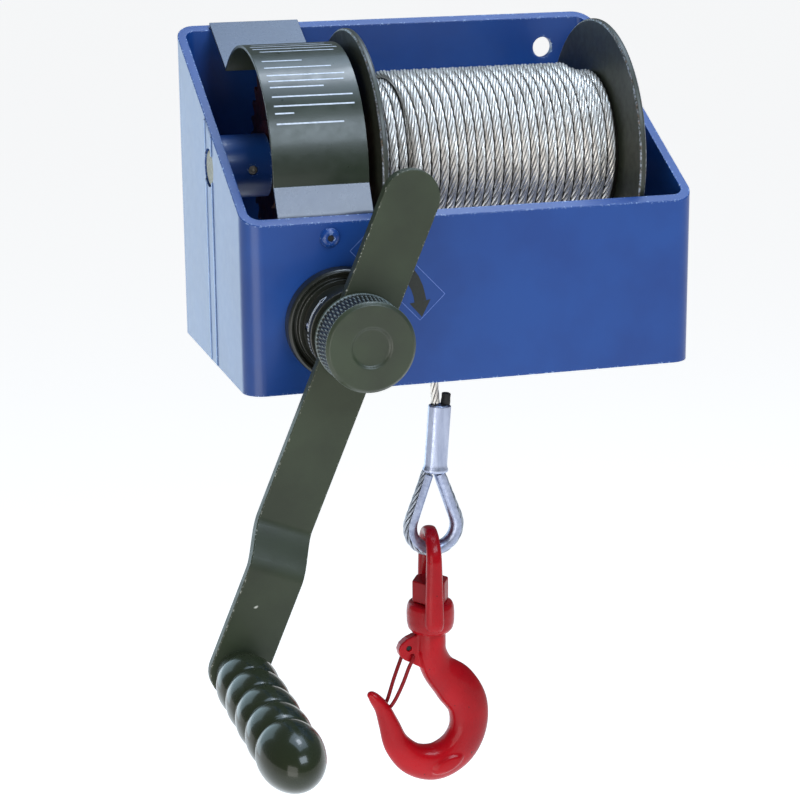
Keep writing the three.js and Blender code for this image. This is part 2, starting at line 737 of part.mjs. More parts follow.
function thimbleRing() {
  const swap = ([x, z]) => [z, x];
  const outside = polygon(teardrop(12.3, 1.6, eyeTop - 1).map(swap));
  const inside = polygon(teardrop(thimbleInner, 0, 22.3).map(swap));
  const ring = prism("y", outside, -thimbleHalfWidth, thimbleHalfWidth);
  return ring.subtract(prism("y", inside, -past - thimbleHalfWidth, past + thimbleHalfWidth));
}

add(ropeEnd, "free_rope", "ropeWire", freeRope());
add(ferrule, "ferrule", "zinc", pressedFerrule());
add(ferrule, "taped_end", "tape", tapedEnd());
add(eye, "eye_rope", "ropeWire", eyeRope());
add(eye, "thimble", "zinc", thimbleRing());

// ---- Swivel hook --------------------------------------------------------------------------------

const bowInner = 11.2;
const bowOuter = 18.2;
const bowTop = -91;
const bowInnerTop = -95.7;
const bowHalfWidth = 4.8;
const collarTop = -134.4;
const collarBottom = -152.8;
const neckRadius = 7;
const shoulderZ = collarBottom - gap;

function swivelBow() {
  const archZ = bowInnerTop - bowInner;
  const legEnd = collarBottom + 2.5;
  const outline = new THREE.Shape();
  outline.moveTo(-bowOuter + 2, legEnd);
  outline.lineTo(-bowOuter, legEnd + 4);
  outline.absellipse(0, archZ, bowOuter, bowTop - archZ, Math.PI, 0, true);
  outline.lineTo(bowOuter, legEnd + 4);
  outline.lineTo(bowOuter - 2, legEnd);
  outline.lineTo(bowInner, legEnd);
  outline.absarc(0, archZ, bowInner, 0, Math.PI);
  outline.lineTo(-bowInner, legEnd);
  const legs = prism("x", outline, -bowHalfWidth, bowHalfWidth, 8);
  const bore = neckRadius + 0.6;
  const collar = revolve("z", [[bore, collarTop], [11.4, collarTop], [12.9, collarTop - 2.2],
    [13.4, collarTop - 6], [13.3, collarBottom + 6], [12, collarBottom + 1.8], [10, collarBottom],
    [bore, collarBottom]], 24);
  return legs.add(collar).subtract(rod("z", bore, collarBottom - past, collarTop + past, 24));
}

function hookNut() {
  const nut = prism("z", hexagon(10.7), collarTop + gap, -121.5);
  return nut.subtract(rod("z", neckRadius + gap, collarTop - past, 0, 24));
}

// The hook's middle line with its half width in the hook's plane and half thickness across it.
const hookStations = [
  [0, shoulderZ, 8.6, 8.6],
  [0.3, -165, 8.7, 8.6],
  [4.4, -175.5, 9.8, 8.3],
  [13.8, -186, 12.3, 8],
  [21.7, -199, 11.8, 8],
  [21.9, -214.5, 11.2, 8.2],
  [14.9, -226.5, 11.4, 8.2],
  [2.9, -232.4, 11.2, 8.2],
  [-10.3, -229.3, 9.6, 7.6],
  [-20.3, -218.8, 7.6, 6.8],
  [-25, -206, 5.9, 6],
  [-29, -195.5, 4.1, 5],
  [-33.6, -188.4, 2.9, 3.6],
  [-35.4, -185.9, 1.4, 1.8],
];

function hookBlank() {
  const line = new THREE.CatmullRomCurve3(
    hookStations.map(([x, z]) => new THREE.Vector3(x, 0, z)), false, "centripetal");
  const sizes = new THREE.CatmullRomCurve3(
    hookStations.map(([, , wide, thick]) => new THREE.Vector3(wide, thick, 0)), false, "catmullrom");
  const steps = 2 * (hookStations.length - 1);
  const across = new THREE.Vector3(0, 1, 0);
  const rings = Array.from({ length: steps + 1 }, (_, k) => {
    const middle = line.getPoint(k / steps);
    const side = line.getTangent(k / steps).cross(across).normalize();
    const size = sizes.getPoint(k / steps);
    return ellipseRing(size.x, size.y, 0, 12).map((p) =>
      middle.clone().addScaledVector(side, p.x).addScaledVector(across, p.y));
  });
  return skin(rings);
}

const latchPinX = -11.3;
const latchPinZ = -161.7;
const latchPinRadius = 1.4;
const lugHalfThickness = 3;

function latchLug() {
  const outline = polygon([[-155.5, -4], [-155.8, -8.3], [-157.8, -13.5], [-160.9, -16.6], [-164.5, -16.6],
    [-168.4, -11.8], [-170, -7.5], [-170, -3]]);
  const pinHole = rod("y", latchPinRadius + gap, -2 * past, 2 * past, 14);
  return prism("y", outline, -lugHalfThickness, lugHalfThickness)
    .subtract(pinHole.translate([latchPinX, 0, latchPinZ]));
}

function hookBody() {
  const neck = rod("z", neckRadius, shoulderZ - 1, -120.6, 20);
  return hookBlank().add(neck).add(latchLug());
}

// A bail of wire: an eye on the pin at each side of the lug, and the bend against the hook's tip.
const wireRadius = 1.15;
const wireY = lugHalfThickness + gap + wireRadius;
const latchTip = [-21.6, -194.6];

function latchBail() {
  const down = [[latchPinX - 0.6, wireY, latchPinZ - 2.4], [-13.6, wireY + 0.4, -172],
    [latchTip[0] + 2.4, 2.6, latchTip[1] + 6]];
  const bend = [[latchTip[0], 0, latchTip[1]]];
  const back = down.map(([x, y, z]) => [x, -y, z]).reverse();
  const points = [...down, ...bend, ...back].map((p) => new THREE.Vector3(...p));
  const wire = ropeAlong(new THREE.CatmullRomCurve3(points), wireRadius, 6, 18);
  const ring = tube("y", latchPinRadius + gap, 3, -wireRadius, wireRadius, 12);
  const eyeAt = (side) => ring.translate([latchPinX, side * wireY, latchPinZ]);
  return wire.add(eyeAt(1)).add(eyeAt(-1));
}

function latchPin() {
  const half = wireY + wireRadius + 1.4;
  const head = half - 1;
  const profile = [[0, -half], [2.4, -half], [2.4, -head], [latchPinRadius, -head], [latchPinRadius, head],
    [2.4, head], [2.4, half], [0, half]];
  return revolve("y", profile, 14).translate([latchPinX, 0, latchPinZ]);
}

add(bow, "swivel_bow", "redPaint", swivelBow());
add(hook, "hook_nut", "redPaint", hookNut());
add(hook, "hook_body", "redPaint", hookBody());
add(hook, "latch_bail", "redPaint", latchBail());
add(hook, "latch_pin", "steel", latchPin());

export default winch;
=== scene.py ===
"""Looks of the wall winch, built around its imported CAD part.

Lengths are millimetres in the winch's own axes: x from the left side plate's outer face, y from the
front plate's outer face, z from the frame's bottom edge. at() turns them into the row frame.
"""

import math
import random

import bmesh
import bpy
import numpy as np
from mathutils import Matrix, Vector


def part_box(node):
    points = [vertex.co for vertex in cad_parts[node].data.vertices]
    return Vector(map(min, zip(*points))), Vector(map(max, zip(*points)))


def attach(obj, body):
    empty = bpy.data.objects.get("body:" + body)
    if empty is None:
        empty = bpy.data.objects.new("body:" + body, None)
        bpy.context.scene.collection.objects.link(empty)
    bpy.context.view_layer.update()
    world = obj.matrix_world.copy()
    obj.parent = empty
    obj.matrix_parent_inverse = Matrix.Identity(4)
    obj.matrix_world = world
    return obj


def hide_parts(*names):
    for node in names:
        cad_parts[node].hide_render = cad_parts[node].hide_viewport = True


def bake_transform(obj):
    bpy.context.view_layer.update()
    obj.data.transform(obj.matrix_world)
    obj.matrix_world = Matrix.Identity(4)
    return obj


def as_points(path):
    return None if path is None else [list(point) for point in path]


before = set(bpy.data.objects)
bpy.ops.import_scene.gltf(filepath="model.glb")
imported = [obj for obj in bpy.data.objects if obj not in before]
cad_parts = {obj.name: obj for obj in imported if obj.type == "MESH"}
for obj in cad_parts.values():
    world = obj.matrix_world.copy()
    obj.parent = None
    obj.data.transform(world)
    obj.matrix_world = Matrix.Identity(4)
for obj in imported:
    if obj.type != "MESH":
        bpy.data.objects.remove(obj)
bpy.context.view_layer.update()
random.seed(7)

MM = 0.001
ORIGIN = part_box("front_shell")[0]


def moved(x=0.0, y=0.0, z=0.0):
    return Matrix.Translation((x, y, z))


def at(x=0.0, y=0.0, z=0.0):
    """The matrix that puts millimetres around a point of the winch into the row frame."""
    return Matrix.Translation(ORIGIN) @ Matrix.Scale(MM, 4) @ moved(x, y, z)


def turned(axis, degrees):
    return Matrix.Rotation(math.radians(degrees), 4, axis)


# Driving dimensions, as in the CAD part.
WIDTH, DEPTH, PLATE = 250.0, 165.0, 5.0
FRONT_HEIGHT, BACK_HEIGHT = 90.0, 176.0
BEND_OUTER, BEND_INNER = 11.0, 6.0
AXLE_Y, AXLE_Z, AXLE_RADIUS = 79.0, 108.6, 10.0
CRANK_X, CRANK_Z = 50.7, 36.9
ARM_ANGLE = 22.7
ARM_BACK, ARM_FRONT, ARM_WIDTH, ARM_THICKNESS = -29.3, -35.3, 30.0, 6.0
GRIP_DROP = 181.0
ROPE_RADIUS = 2.5
ROPE_Y = 32.5
TANGENT_X = 103.5
FERRULE_X, FERRULE_TOP, FERRULE_LENGTH, FERRULE_LEAN = 113.6, -21.3, 38.6, 4.3
EYE_X, EYE_Z = 111.0, -90.8
HOOK_X, BOW_TWIST = 109.0, -8.5
KNURL_START, KNURL_END = -38.6, -58.4
ON_AXIS = 1e-6

FRAME = at()
AXLE = at(0, AXLE_Y, AXLE_Z)
CRANK = at(CRANK_X, 0, CRANK_Z)
ARM = CRANK @ turned("Y", ARM_ANGLE)
GRIP = ARM @ moved(z=-GRIP_DROP)
FERRULE = at(FERRULE_X, ROPE_Y, FERRULE_TOP - FERRULE_LENGTH / 2) @ turned("Y", FERRULE_LEAN)
EYE = at(EYE_X, ROPE_Y, EYE_Z)
HOOK = at(HOOK_X, ROPE_Y, 0)
BOW = HOOK @ turned("Z", BOW_TWIST)


def top_at(y):
    """Height of the frame's slanted top edge."""
    return FRONT_HEIGHT + (BACK_HEIGHT - FRONT_HEIGHT) * y / DEPTH


# ---- Meshes ----


def linked(name, data):
    thing = bpy.data.objects.new(name, data)
    bpy.context.scene.collection.objects.link(thing)
    return thing


def shown(name, mesh):
    """A new object in the scene, under a name that no CAD node has."""
    return linked(f"{name}_visual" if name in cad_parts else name, mesh)


def make(name, points, faces, place):
    mesh = bpy.data.meshes.new(name)
    mesh.from_pydata([place @ Vector(p) for p in points], [], faces)
    shape = bmesh.new()
    shape.from_mesh(mesh)
    bmesh.ops.recalc_face_normals(shape, faces=shape.faces)
    shape.to_mesh(mesh)
    shape.free()
    return shown(name, mesh)


def along(axis, a, b, distance):
    return {"x": (distance, a, b), "y": (a, distance, b), "z": (a, b, distance)}[axis]


def spun(name, axis, profile, place, segments=96, wobble=None):
    """A profile of (radius, distance along the axis) spun about the axis. It closes on itself unless
    both of its ends are on the axis. wobble(angle, distance) is added to the radius."""
    points, rings = [], []
    for radius, distance in profile:
        if radius < ON_AXIS:
            rings.append([len(points)] * segments)
            points.append(along(axis, 0, 0, distance))
            continue
        rings.append(list(range(len(points), len(points) + segments)))
        for k in range(segments):
            angle = 2 * math.pi * k / segments
            r = radius + (wobble(angle, distance) if wobble else 0)
            points.append(along(axis, r * math.cos(angle), r * math.sin(angle), distance))
    if profile[0][0] > ON_AXIS:
        rings.append(rings[0])
    faces = []
    for first, second in zip(rings, rings[1:]):
        for k in range(segments):
            n = (k + 1) % segments
            corners = list(dict.fromkeys((first[k], first[n], second[n], second[k])))
            if len(corners) > 2:
                faces.append(corners)
    return make(name, points, faces, place)


def slab(name, axis, outline, start, end, place):
    """An outline of (a, b) points extruded along an axis."""
    count = len(outline)
    points = [along(axis, a, b, d) for d in (start, end) for a, b in outline]
    sides = [(k, (k + 1) % count, (k + 1) % count + count, k + count) for k in range(count)]
    caps = [tuple(range(count)), tuple(range(count, 2 * count))]
    return make(name, points, sides + caps, place)


def loft(name, rings, place):
    """A skin over rings of points, capped at both ends."""
    count = len(rings[0])
    points = [p for ring in rings for p in ring]
    last = len(points) - count
    faces = []
    for low in range(0, last, count):
        high = low + count
        for k in range(count):
            n = (k + 1) % count
            faces.append((low + k, low + n, high + n, high + k))
    faces += [tuple(range(count)), tuple(range(last, len(points)))]
    return make(name, points, faces, place)


def directions(path):
    """Unit tangents at the points of a path."""
    tangents = np.gradient(path, axis=0)
    return tangents / np.linalg.norm(tangents, axis=1)[:, None]


def across_flat(tangents):
    """The tangents of a flat path turned a quarter turn in its plane."""
    return np.stack([-tangents[:, 1], tangents[:, 0]], axis=1)


def frames_along(path):
    """Normals and binormals that turn as little as they can along a path."""
    tangents = directions(path)
    helper = np.eye(3)[np.argmin(np.abs(tangents[0]))]
    normal = np.cross(tangents[0], helper)
    normals = []
    for tangent in tangents:
        normal = normal - tangent * (normal @ tangent)
        normal /= np.linalg.norm(normal)
        normals.append(normal)
    normals = np.array(normals)
    return normals, np.cross(tangents, normals)


def circle(centre, radius, first, second, sides):
    """Points of a circle about a centre, in the plane of two unit vectors."""
    angles = [2 * math.pi * k / sides for k in range(sides)]
    return [tuple(centre + radius * (math.cos(a) * first + math.sin(a) * second)) for a in angles]


def tube(name, path, radius, place, sides=16):
    path = np.array(path, float)
    rings = [circle(point, radius, n, b, sides) for point, n, b in zip(path, *frames_along(path))]
    return loft(name, rings, place)


def smooth_shaded(mesh):
    mesh.polygons.foreach_set("use_smooth", [True] * len(mesh.polygons))


def evenly(path, step):
    """The same path with points about one step apart, and the distance run at each."""
    path = np.array(path, float)
    run = np.concatenate([[0], np.cumsum(np.linalg.norm(np.diff(path, axis=0), axis=1))])
    count = max(int(round(run[-1] / step)), 2)
    at_run = np.linspace(0, run[-1], count + 1)
    return np.stack([np.interp(at_run, run, path[:, k]) for k in range(3)], axis=1), at_run


STRANDS, WIRES = 6, 7
ROPE_LAY, WIRE_LAY = 32.0, 13.0
# Strands are a little over a third of the rope, so that neighbours press into each other.
STRAND_PRESS, CORE_SHARE = 1.04, 0.92


def stranded(name, path, place, radius=ROPE_RADIUS, step=2.0, sides=8, phase=0.0, offset=0.0):
    """Wire rope along a path: right-hand strands round a core, with a UV map that runs along each
    strand and round it."""
    centre, run = evenly(path, step)
    normals, across = frames_along(centre)
    strand = radius / 3 * STRAND_PRESS
    ring_radius = radius - strand
    points, faces, uvs, lines = [], [], [], []
    for k in range(STRANDS):
        angle = phase + 2 * math.pi * (k / STRANDS + (run + offset) / ROPE_LAY)
        around = np.cos(angle)[:, None] * normals + np.sin(angle)[:, None] * across
        lines.append((centre + ring_radius * around, strand))
    lines.append((centre, ring_radius * CORE_SHARE))
    for line, size in lines:
        base = len(points)
        for point, n, b in zip(line, *frames_along(line)):
            points += circle(point, size, n, b, sides)
        for row in range(len(line) - 1):
            for j in range(sides):
                m = (j + 1) % sides
                low, high = base + row * sides, base + (row + 1) * sides
                faces.append((low + j, low + m, high + m, high + j))
                u0, u1 = run[row] / WIRE_LAY, run[row + 1] / WIRE_LAY
                v0, v1 = j / sides, (j + 1) / sides
                uvs += [(u0, v0), (u0, v1), (u1, v1), (u1, v0)]
        last = base + (len(line) - 1) * sides
        for start in (base, last):
            faces.append(tuple(range(start, start + sides)))
            uvs += [(0, 0)] * sides
    mesh = bpy.data.meshes.new(name)
    mesh.from_pydata([place @ Vector(p) for p in points], [], faces)
    layer = mesh.uv_layers.new(name="wires")
    layer.data.foreach_set("uv", np.array(uvs, np.float32).ravel())
    smooth_shaded(mesh)
    return shown(name, mesh)


def baked(thing):
    """The object's modifiers become its mesh."""
    depsgraph = bpy.context.evaluated_depsgraph_get()
    mesh = bpy.data.meshes.new_from_object(thing.evaluated_get(depsgraph))
    thing.modifiers.clear()
    thing.data = mesh
    return thing


def combined(thing, tools, operation):
    """The object cut by, or cut down to, other objects, which are used up."""
    for tool in tools:
        step = thing.modifiers.new("cut", "BOOLEAN")
        step.operation = operation
        step.solver = "EXACT"
        step.object = tool
    baked(thing)
    for tool in tools:
        bpy.data.objects.remove(tool)
    return thing


def cut(thing, *tools):
    return combined(thing, tools, "DIFFERENCE")


def joined(name, things):
    """One object made of several, which are used up."""
    shape = bmesh.new()
    for thing in things:
        shape.from_mesh(thing.data)
    mesh = bpy.data.meshes.new(name)
    shape.to_mesh(mesh)
    shape.free()
    for thing in things:
        bpy.data.objects.remove(thing)
    return shown(name, mesh)


def eased(thing, radius, segments=3, angle=32):
    """Rounds the edges sharper than an angle and smooths the rest."""
    if radius:
        step = thing.modifiers.new("bevel", "BEVEL")
        step.width = radius * MM
        step.segments = segments
        step.limit_method = "ANGLE"
        step.angle_limit = math.radians(angle)
        step.use_clamp_overlap = True
    smooth_shaded(thing.data)
    thing.modifiers.new("normals", "WEIGHTED_NORMAL").keep_sharp = True
    return baked(thing)


def forged(thing, voxel, rounds):
    """Fuses overlapping shapes into one skin with soft fillets."""
    step = thing.modifiers.new("skin", "REMESH")
    step.mode = "VOXEL"
    step.voxel_size = voxel * MM
    smooth = thing.modifiers.new("smooth", "SMOOTH")
    smooth.factor = 0.5
    smooth.iterations = rounds
    smooth_shaded(baked(thing).data)
    return thing


def settle(thing, body, look, nodes=()):
    """Gives a piece its material and body, and hides the CAD nodes it stands for."""
    thing.data.materials.clear()
    thing.data.materials.append(look)
    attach(thing, body)
    if nodes:
        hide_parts(*nodes)
    return thing


# ---- Materials ----


def tint(red, green, blue):
    """An sRGB colour, 0 to 255, as the linear colour that a shader takes."""
    linear = []
    for value in (red, green, blue):
        v = value / 255
        linear.append(v / 12.92 if v <= 0.04045 else ((v + 0.055) / 1.055) ** 2.4)
    return (*linear, 1.0)


class Look:
    """A material on one Principled shader, and the node chains that feed it."""

    def __init__(self, name, **sockets):
        self.material = bpy.data.materials.new(name)
        self.material.use_nodes = True
        self.tree = self.material.node_tree
        self.shader = self.tree.nodes["Principled BSDF"]
        self.spot = self.node("ShaderNodeTexCoord").outputs["Object"]
        self.set(**sockets)

    def set(self, **sockets):
        for key, value in sockets.items():
            self.feed(self.shader.inputs[key.replace("_", " ")], value)

    def feed(self, socket, value):
        if isinstance(value, bpy.types.NodeSocket):
            self.tree.links.new(value, socket)
        else:
            socket.default_value = value

    def node(self, kind, inputs=(), **settings):
        made = self.tree.nodes.new(kind)
        for key, value in settings.items():
            setattr(made, key, value)
        for key, value in dict(inputs).items():
            self.feed(made.inputs[key], value)
        return made

    def noise(self, size, detail=3.0, roughness=0.55, stretch=None):
        """Noise with features about one size across, in millimetres."""
        place = self.spot
        if stretch:
            place = self.node("ShaderNodeMapping", {"Vector": place, "Scale": stretch}).outputs[0]
        inputs = {"Vector": place, "Scale": 1 / (size * MM), "Detail": detail, "Roughness": roughness}
        return self.node("ShaderNodeTexNoise", inputs).outputs["Fac"]

    def span(self, value, low, high, to_low=0.0, to_high=1.0):
        inputs = {"Value": value, "From Min": low, "From Max": high, "To Min": to_low, "To Max": to_high}
        return self.node("ShaderNodeMapRange", inputs).outputs[0]

    def patches(self, size, detail, low, high, to_low=0.0, to_high=1.0):
        """Noise spread from one level to another between two of its values."""
        return self.span(self.noise(size, detail), low, high, to_low, to_high)

    def maths(self, operation, first, second=0.0):
        return self.node("ShaderNodeMath", {0: first, 1: second}, operation=operation).outputs[0]

    def times(self, first, second):
        return self.maths("MULTIPLY", first, second)

    def mix(self, share, first, second):
        made = self.node("ShaderNodeMix", {0: share, 6: first, 7: second}, data_type="RGBA")
        return made.outputs[2]

    def bump(self, height, depth, under=None):
        inputs = {"Height": height, "Distance": depth * MM, "Strength": 1.0}
        if under is not None:
            inputs["Normal"] = under
        return self.node("ShaderNodeBump", inputs).outputs[0]

    def finish(self, roughness, size, detail, normal):
        """Uneven roughness between two levels, and the normal."""
        self.set(Roughness=self.patches(size, detail, 0.3, 0.7, *roughness), Normal=normal)
        return self.material

    def edges(self, radius, low, high):
        """One near sharp edges, nought on flats."""
        round_normal = self.node("ShaderNodeBevel", {"Radius": radius * MM}, samples=4).outputs[0]
        flat = self.node("ShaderNodeNewGeometry").outputs["Normal"]
        dot = self.node("ShaderNodeVectorMath", {0: round_normal, 1: flat}, operation="DOT_PRODUCT")
        away = self.maths("SUBTRACT", 1.0, dot.outputs["Value"])
        return self.span(away, low, high)


def paint(name, colour, deep, roughness, coat, chip, chip_size=13, edge_share=1.0, peel=0.02,
          edge_radius=0.5, specular=0.5, uneven=0.06, lone_level=0.8):
    """Sprayed paint: uneven tone, orange peel, and chips that gather on edges. lone_level is the
    noise above which a chip stands alone on a flat, so a higher level leaves fewer."""
    look = Look(name, Coat_Weight=coat, Coat_Roughness=0.12, Specular_IOR_Level=specular)
    colour, deep, chip = tint(*colour), tint(*deep), tint(*chip)
    tone = look.mix(look.patches(38, 3, 0.35, 0.65), colour, deep)
    tone = look.mix(look.times(look.patches(0.55, 2, 0.35, 0.75), 0.22), tone, deep)
    worn = look.times(look.edges(edge_radius, 0.012, 0.08), look.patches(1.3, 4, 0.57, 0.6))
    lone = look.patches(chip_size, 1, lone_level, lone_level + 0.01)
    chips = look.maths("MAXIMUM", look.times(worn, edge_share), lone)
    look.set(Base_Color=look.mix(chips, tone, chip))
    skin = look.bump(look.noise(0.9, 2), peel)
    return look.finish((roughness - uneven, roughness + uneven), 6, 4, look.bump(chips, -0.05, skin))


def wire_rope(name, bright, dull):
    """Bright galvanised wires twisted against the strand's own lay, darker in the grooves between wires,
    with painted shade from ambient occlusion where the rope hides itself.
    """
    look = Look(name, Metallic=0.8)
    uv = look.node("ShaderNodeUVMap", uv_map="wires").outputs[0]
    split = look.node("ShaderNodeSeparateXYZ", {0: uv})
    turn = look.maths("ADD", look.times(split.outputs[1], WIRES), split.outputs[0])
    wave = look.maths("ABSOLUTE", look.maths("SINE", look.times(turn, math.pi)))
    groove = look.span(wave, 0.0, 0.45, 0.72, 1.0)
    # Painted shade: ambient occlusion darkens the colour where strands and turns hide the surface.
    painted_shade_ao = look.node("ShaderNodeAmbientOcclusion", {"Distance": 1.1 * MM}, samples=8)
    unshaded_share = look.span(painted_shade_ao.outputs["AO"], 0.42, 0.84)
    zinc = look.mix(look.patches(9, 4, 0.35, 0.7), tint(*bright), tint(*dull))
    # The dark brown comes in at the grooves between wires, and as painted shade where the surface is
    # occluded.
    look.set(Base_Color=look.mix(look.times(groove, unshaded_share), tint(30, 27, 22), zinc))
    return look.finish((0.28, 0.42), 2.5, 3, look.bump(wave, 0.1))


def metal(name, colour, dull, roughness, grain=3.0, stretch=None, depth=0.01, metallic=1.0):
    """Bare metal with duller patches. stretch draws the patches out along an axis."""
    look = Look(name, Metallic=metallic)
    dulled = look.span(look.noise(grain, 5, 0.65, stretch), 0.35, 0.68)
    look.set(Base_Color=look.mix(dulled, tint(*colour), tint(*dull)))
    skin = look.bump(look.noise(grain * 0.4, 4, 0.6, stretch), depth)
    return look.finish((roughness - 0.08, roughness + 0.12), grain * 0.7, 4, skin)


def ink(name, colour, thin, roughness, grain=1.5):
    """Matt print or a dull surface, slightly uneven in tone."""
    look = Look(name)
    look.set(Base_Color=look.mix(look.patches(grain, 4, 0.35, 0.7), tint(*colour), tint(*thin)))
    skin = look.bump(look.noise(grain * 0.4, 3), 0.01)
    return look.finish((roughness - 0.06, roughness + 0.06), grain * 2, 3, skin)


CHIP_GREY, CHIP_DARK = (150, 150, 146), (36, 18, 16)

BLUE = paint("blue_paint", (20, 66, 134), (17, 58, 124), 0.36, 0.14, (170, 195, 228),
             edge_share=0.9, peel=0.006, edge_radius=1.9, specular=0.4, uneven=0.015, lone_level=0.95)
# Pale blue for the seam ridges: a painted highlight along each ridge.
RIDGE_HIGHLIGHT_BLUE = paint("ridge_highlight_blue_paint", (165, 192, 228), (140, 172, 216), 0.4, 0.1, (190, 205, 230))
OLIVE = paint("olive_black_paint", (53, 61, 44), (44, 50, 36), 0.44, 0.05, (200, 200, 188),
              peel=0.03, edge_radius=0.9, specular=0.35, lone_level=0.79)
COVER_PAINT = paint("cover_paint", (42, 50, 38), (36, 42, 33), 0.33, 0.1, CHIP_GREY,
                    chip_size=17, edge_share=0.7, specular=0.4)
# Blue-tinted paint for the cover's foot and rear strip: a painted reflection of the light above.
COVER_SHEEN = paint("cover_sheen_paint", (42, 56, 84), (37, 49, 74), 0.28, 0.3, CHIP_GREY,
                    chip_size=17, edge_share=0.7, peel=0.006, specular=0.55, uneven=0.02)
BLACK = paint("gloss_black_paint", (34, 36, 28), (24, 26, 20), 0.34, 0.12, (160, 158, 150),
              edge_share=0.6)
RED = paint("hook_paint", (176, 9, 22), (146, 7, 19), 0.3, 0.2, (40, 16, 14), chip_size=3.2,
            edge_share=0.55, peel=0.03, specular=0.12, lone_level=0.765)
NUT_RED = paint("nut_paint", (158, 12, 24), (130, 9, 18), 0.4, 0.12, CHIP_DARK, chip_size=4,
                edge_share=0.7, peel=0.04, specular=0.12)
DARK_RED = paint("latch_paint", (134, 10, 20), (108, 8, 14), 0.42, 0.1, CHIP_DARK, chip_size=4,
                 edge_share=0.6, peel=0.04, specular=0.12)
WIRE = wire_rope("rope_wire", (250, 246, 240), (212, 206, 198))
GREY_WIRE = wire_rope("eye_rope_wire", (200, 206, 216), (132, 138, 148))
DRAWN_DOWN = (1, 1, 0.12)
ZINC = metal("pressed_zinc", (186, 194, 216), (160, 168, 192), 0.36, 3.0, DRAWN_DOWN, 0.012)
BRIGHT_ZINC = metal("thimble_zinc", (176, 184, 206), (138, 146, 172), 0.34, depth=0.02)
STEEL = metal("turned_steel", (186, 184, 178), (130, 126, 116), 0.36, 2.0)
AXLE_STEEL = metal("axle_end_steel", (150, 144, 128), (104, 98, 84), 0.5, 1.6)
IRON = metal("greasy_iron", (60, 50, 44), (104, 48, 34), 0.42, 5.0, None, 0.06, 0.7)
BRONZE = metal("bronze", (172, 134, 74), (128, 94, 48), 0.38, 2.0)
# Dark brown-grey for the rope under the top layer and for the drum barrel: painted shade for what lies
# hidden under the turns.
ROPE_SHADE_DARK = metal("rope_shadow", (60, 54, 46), (42, 38, 32), 0.6, 2.0, None, 0.03, 0.6)
TAPE = metal("cloth_tape", (26, 26, 27), (14, 14, 15), 0.6, 0.5, None, 0.12, 0.0)
FRICTION = ink("friction_disc", (66, 58, 48), (50, 44, 36), 0.85)
PRINT = ink("print_white", (206, 212, 222), (168, 176, 188), 0.5)
ARROW = ink("arrow_ink", (34, 38, 30), (27, 30, 25), 0.45)
THIN_PRINT = ink("outline_ink", (100, 126, 192), (76, 104, 172), 0.45)
# Near black for the screw socket and for the latch pin in its hole: painted shade in the hollows.
RECESS_SHADE_DARK = ink("painted_shade_recess", (20, 19, 18), (12, 12, 13), 0.7)


def gloss_grip():
    """Glossy moulded plastic with faint handling haze."""
    look = Look("grip_plastic", Base_Color=tint(36, 42, 26), Coat_Weight=0.3, Coat_Roughness=0.06,
                Specular_IOR_Level=0.25)
    look.set(Roughness=look.patches(12, 4, 0.35, 0.75, 0.18, 0.34))
    look.set(Normal=look.bump(look.noise(3.5, 3), 0.02))
    return look.material


GRIP_GLOSS = gloss_grip()


def away_from_axis(look, first, second, point):
    """Distance from an axis of the row frame, from the two coordinates across it."""
    split = look.node("ShaderNodeSeparateXYZ", {0: look.spot})
    squares = [look.maths("POWER", look.maths("SUBTRACT", split.outputs[k], place), 2.0)
               for k, place in ((first, point[first]), (second, point[second]))]
    return look.maths("SQRT", look.maths("ADD", *squares))


def knurl_paint_painted_light():
    """Olive black, with a painted highlight on the tips of the knurl and painted shade in its grooves."""
    look = Look("knurl_paint_painted_light", Coat_Weight=0.15, Coat_Roughness=0.15, Specular_IOR_Level=0.4)
    radius = away_from_axis(look, 0, 2, CRANK.translation)
    tone = look.mix(look.patches(30, 3, 0.35, 0.65), tint(52, 61, 43), tint(45, 51, 37))
    spot = look.node("ShaderNodeSeparateXYZ", {0: look.spot})
    reach = look.maths("SUBTRACT", spot.outputs[1], ORIGIN.y)
    behind_face = look.span(reach, (KNURL_END - 0.3) * MM, (KNURL_END + 0.5) * MM)
    before_back = look.span(reach, (KNURL_START - 0.3) * MM, (KNURL_START + 0.3) * MM, 1.0, 0.0)
    off_faces = look.span(radius, 22 * MM, 22.2 * MM)
    side = look.times(look.times(behind_face, before_back), off_faces)
    # Painted highlight and shade: pale bluish grey on the knurl tips stands in for reflected light, near
    # black in the grooves for shade.
    groove = look.mix(look.span(radius, 22.7 * MM, 23.25 * MM), tint(16, 18, 14), tint(128, 138, 136))
    look.set(Base_Color=look.mix(side, tone, groove))
    return look.finish((0.36, 0.5), 6, 4, look.bump(look.noise(0.9, 2), 0.03))


KNURLED = knurl_paint_painted_light()

# ---- Frame ----


def rounded(x0, y0, x1, y1, radius, steps=10):
    corners = [(x0 + radius, y0 + radius, 180), (x1 - radius, y0 + radius, 270),
               (x1 - radius, y1 - radius, 0), (x0 + radius, y1 - radius, 90)]
    points = []
    for cx, cy, start in corners:
        for k in range(steps + 1):
            angle = math.radians(start + 90 * k / steps)
            points.append((cx + radius * math.cos(angle), cy + radius * math.sin(angle)))
    return points


def rod(axis, radius, start, end, place, segments=48):
    return spun("rod", axis, [(0, start), (radius, start), (radius, end), (0, end)], place, segments)


MOUNT_HOLES = [(30.0, 24.0), (220.0, 24.0), (220.0, 156.0)]
MOUNT_HOLE_RADIUS, BEARING_HOLE_RADIUS, SCREW_HOLE_RADIUS = 6, 18.3, 3.2
COVER_SCREW = at(45.75, 0, 82.0)
# How far a cutter reaches past the faces it cuts.
PAST = 5


def axle_cutter():
    return rod("x", AXLE_RADIUS + 0.5, -PAST, WIDTH + PAST, AXLE)


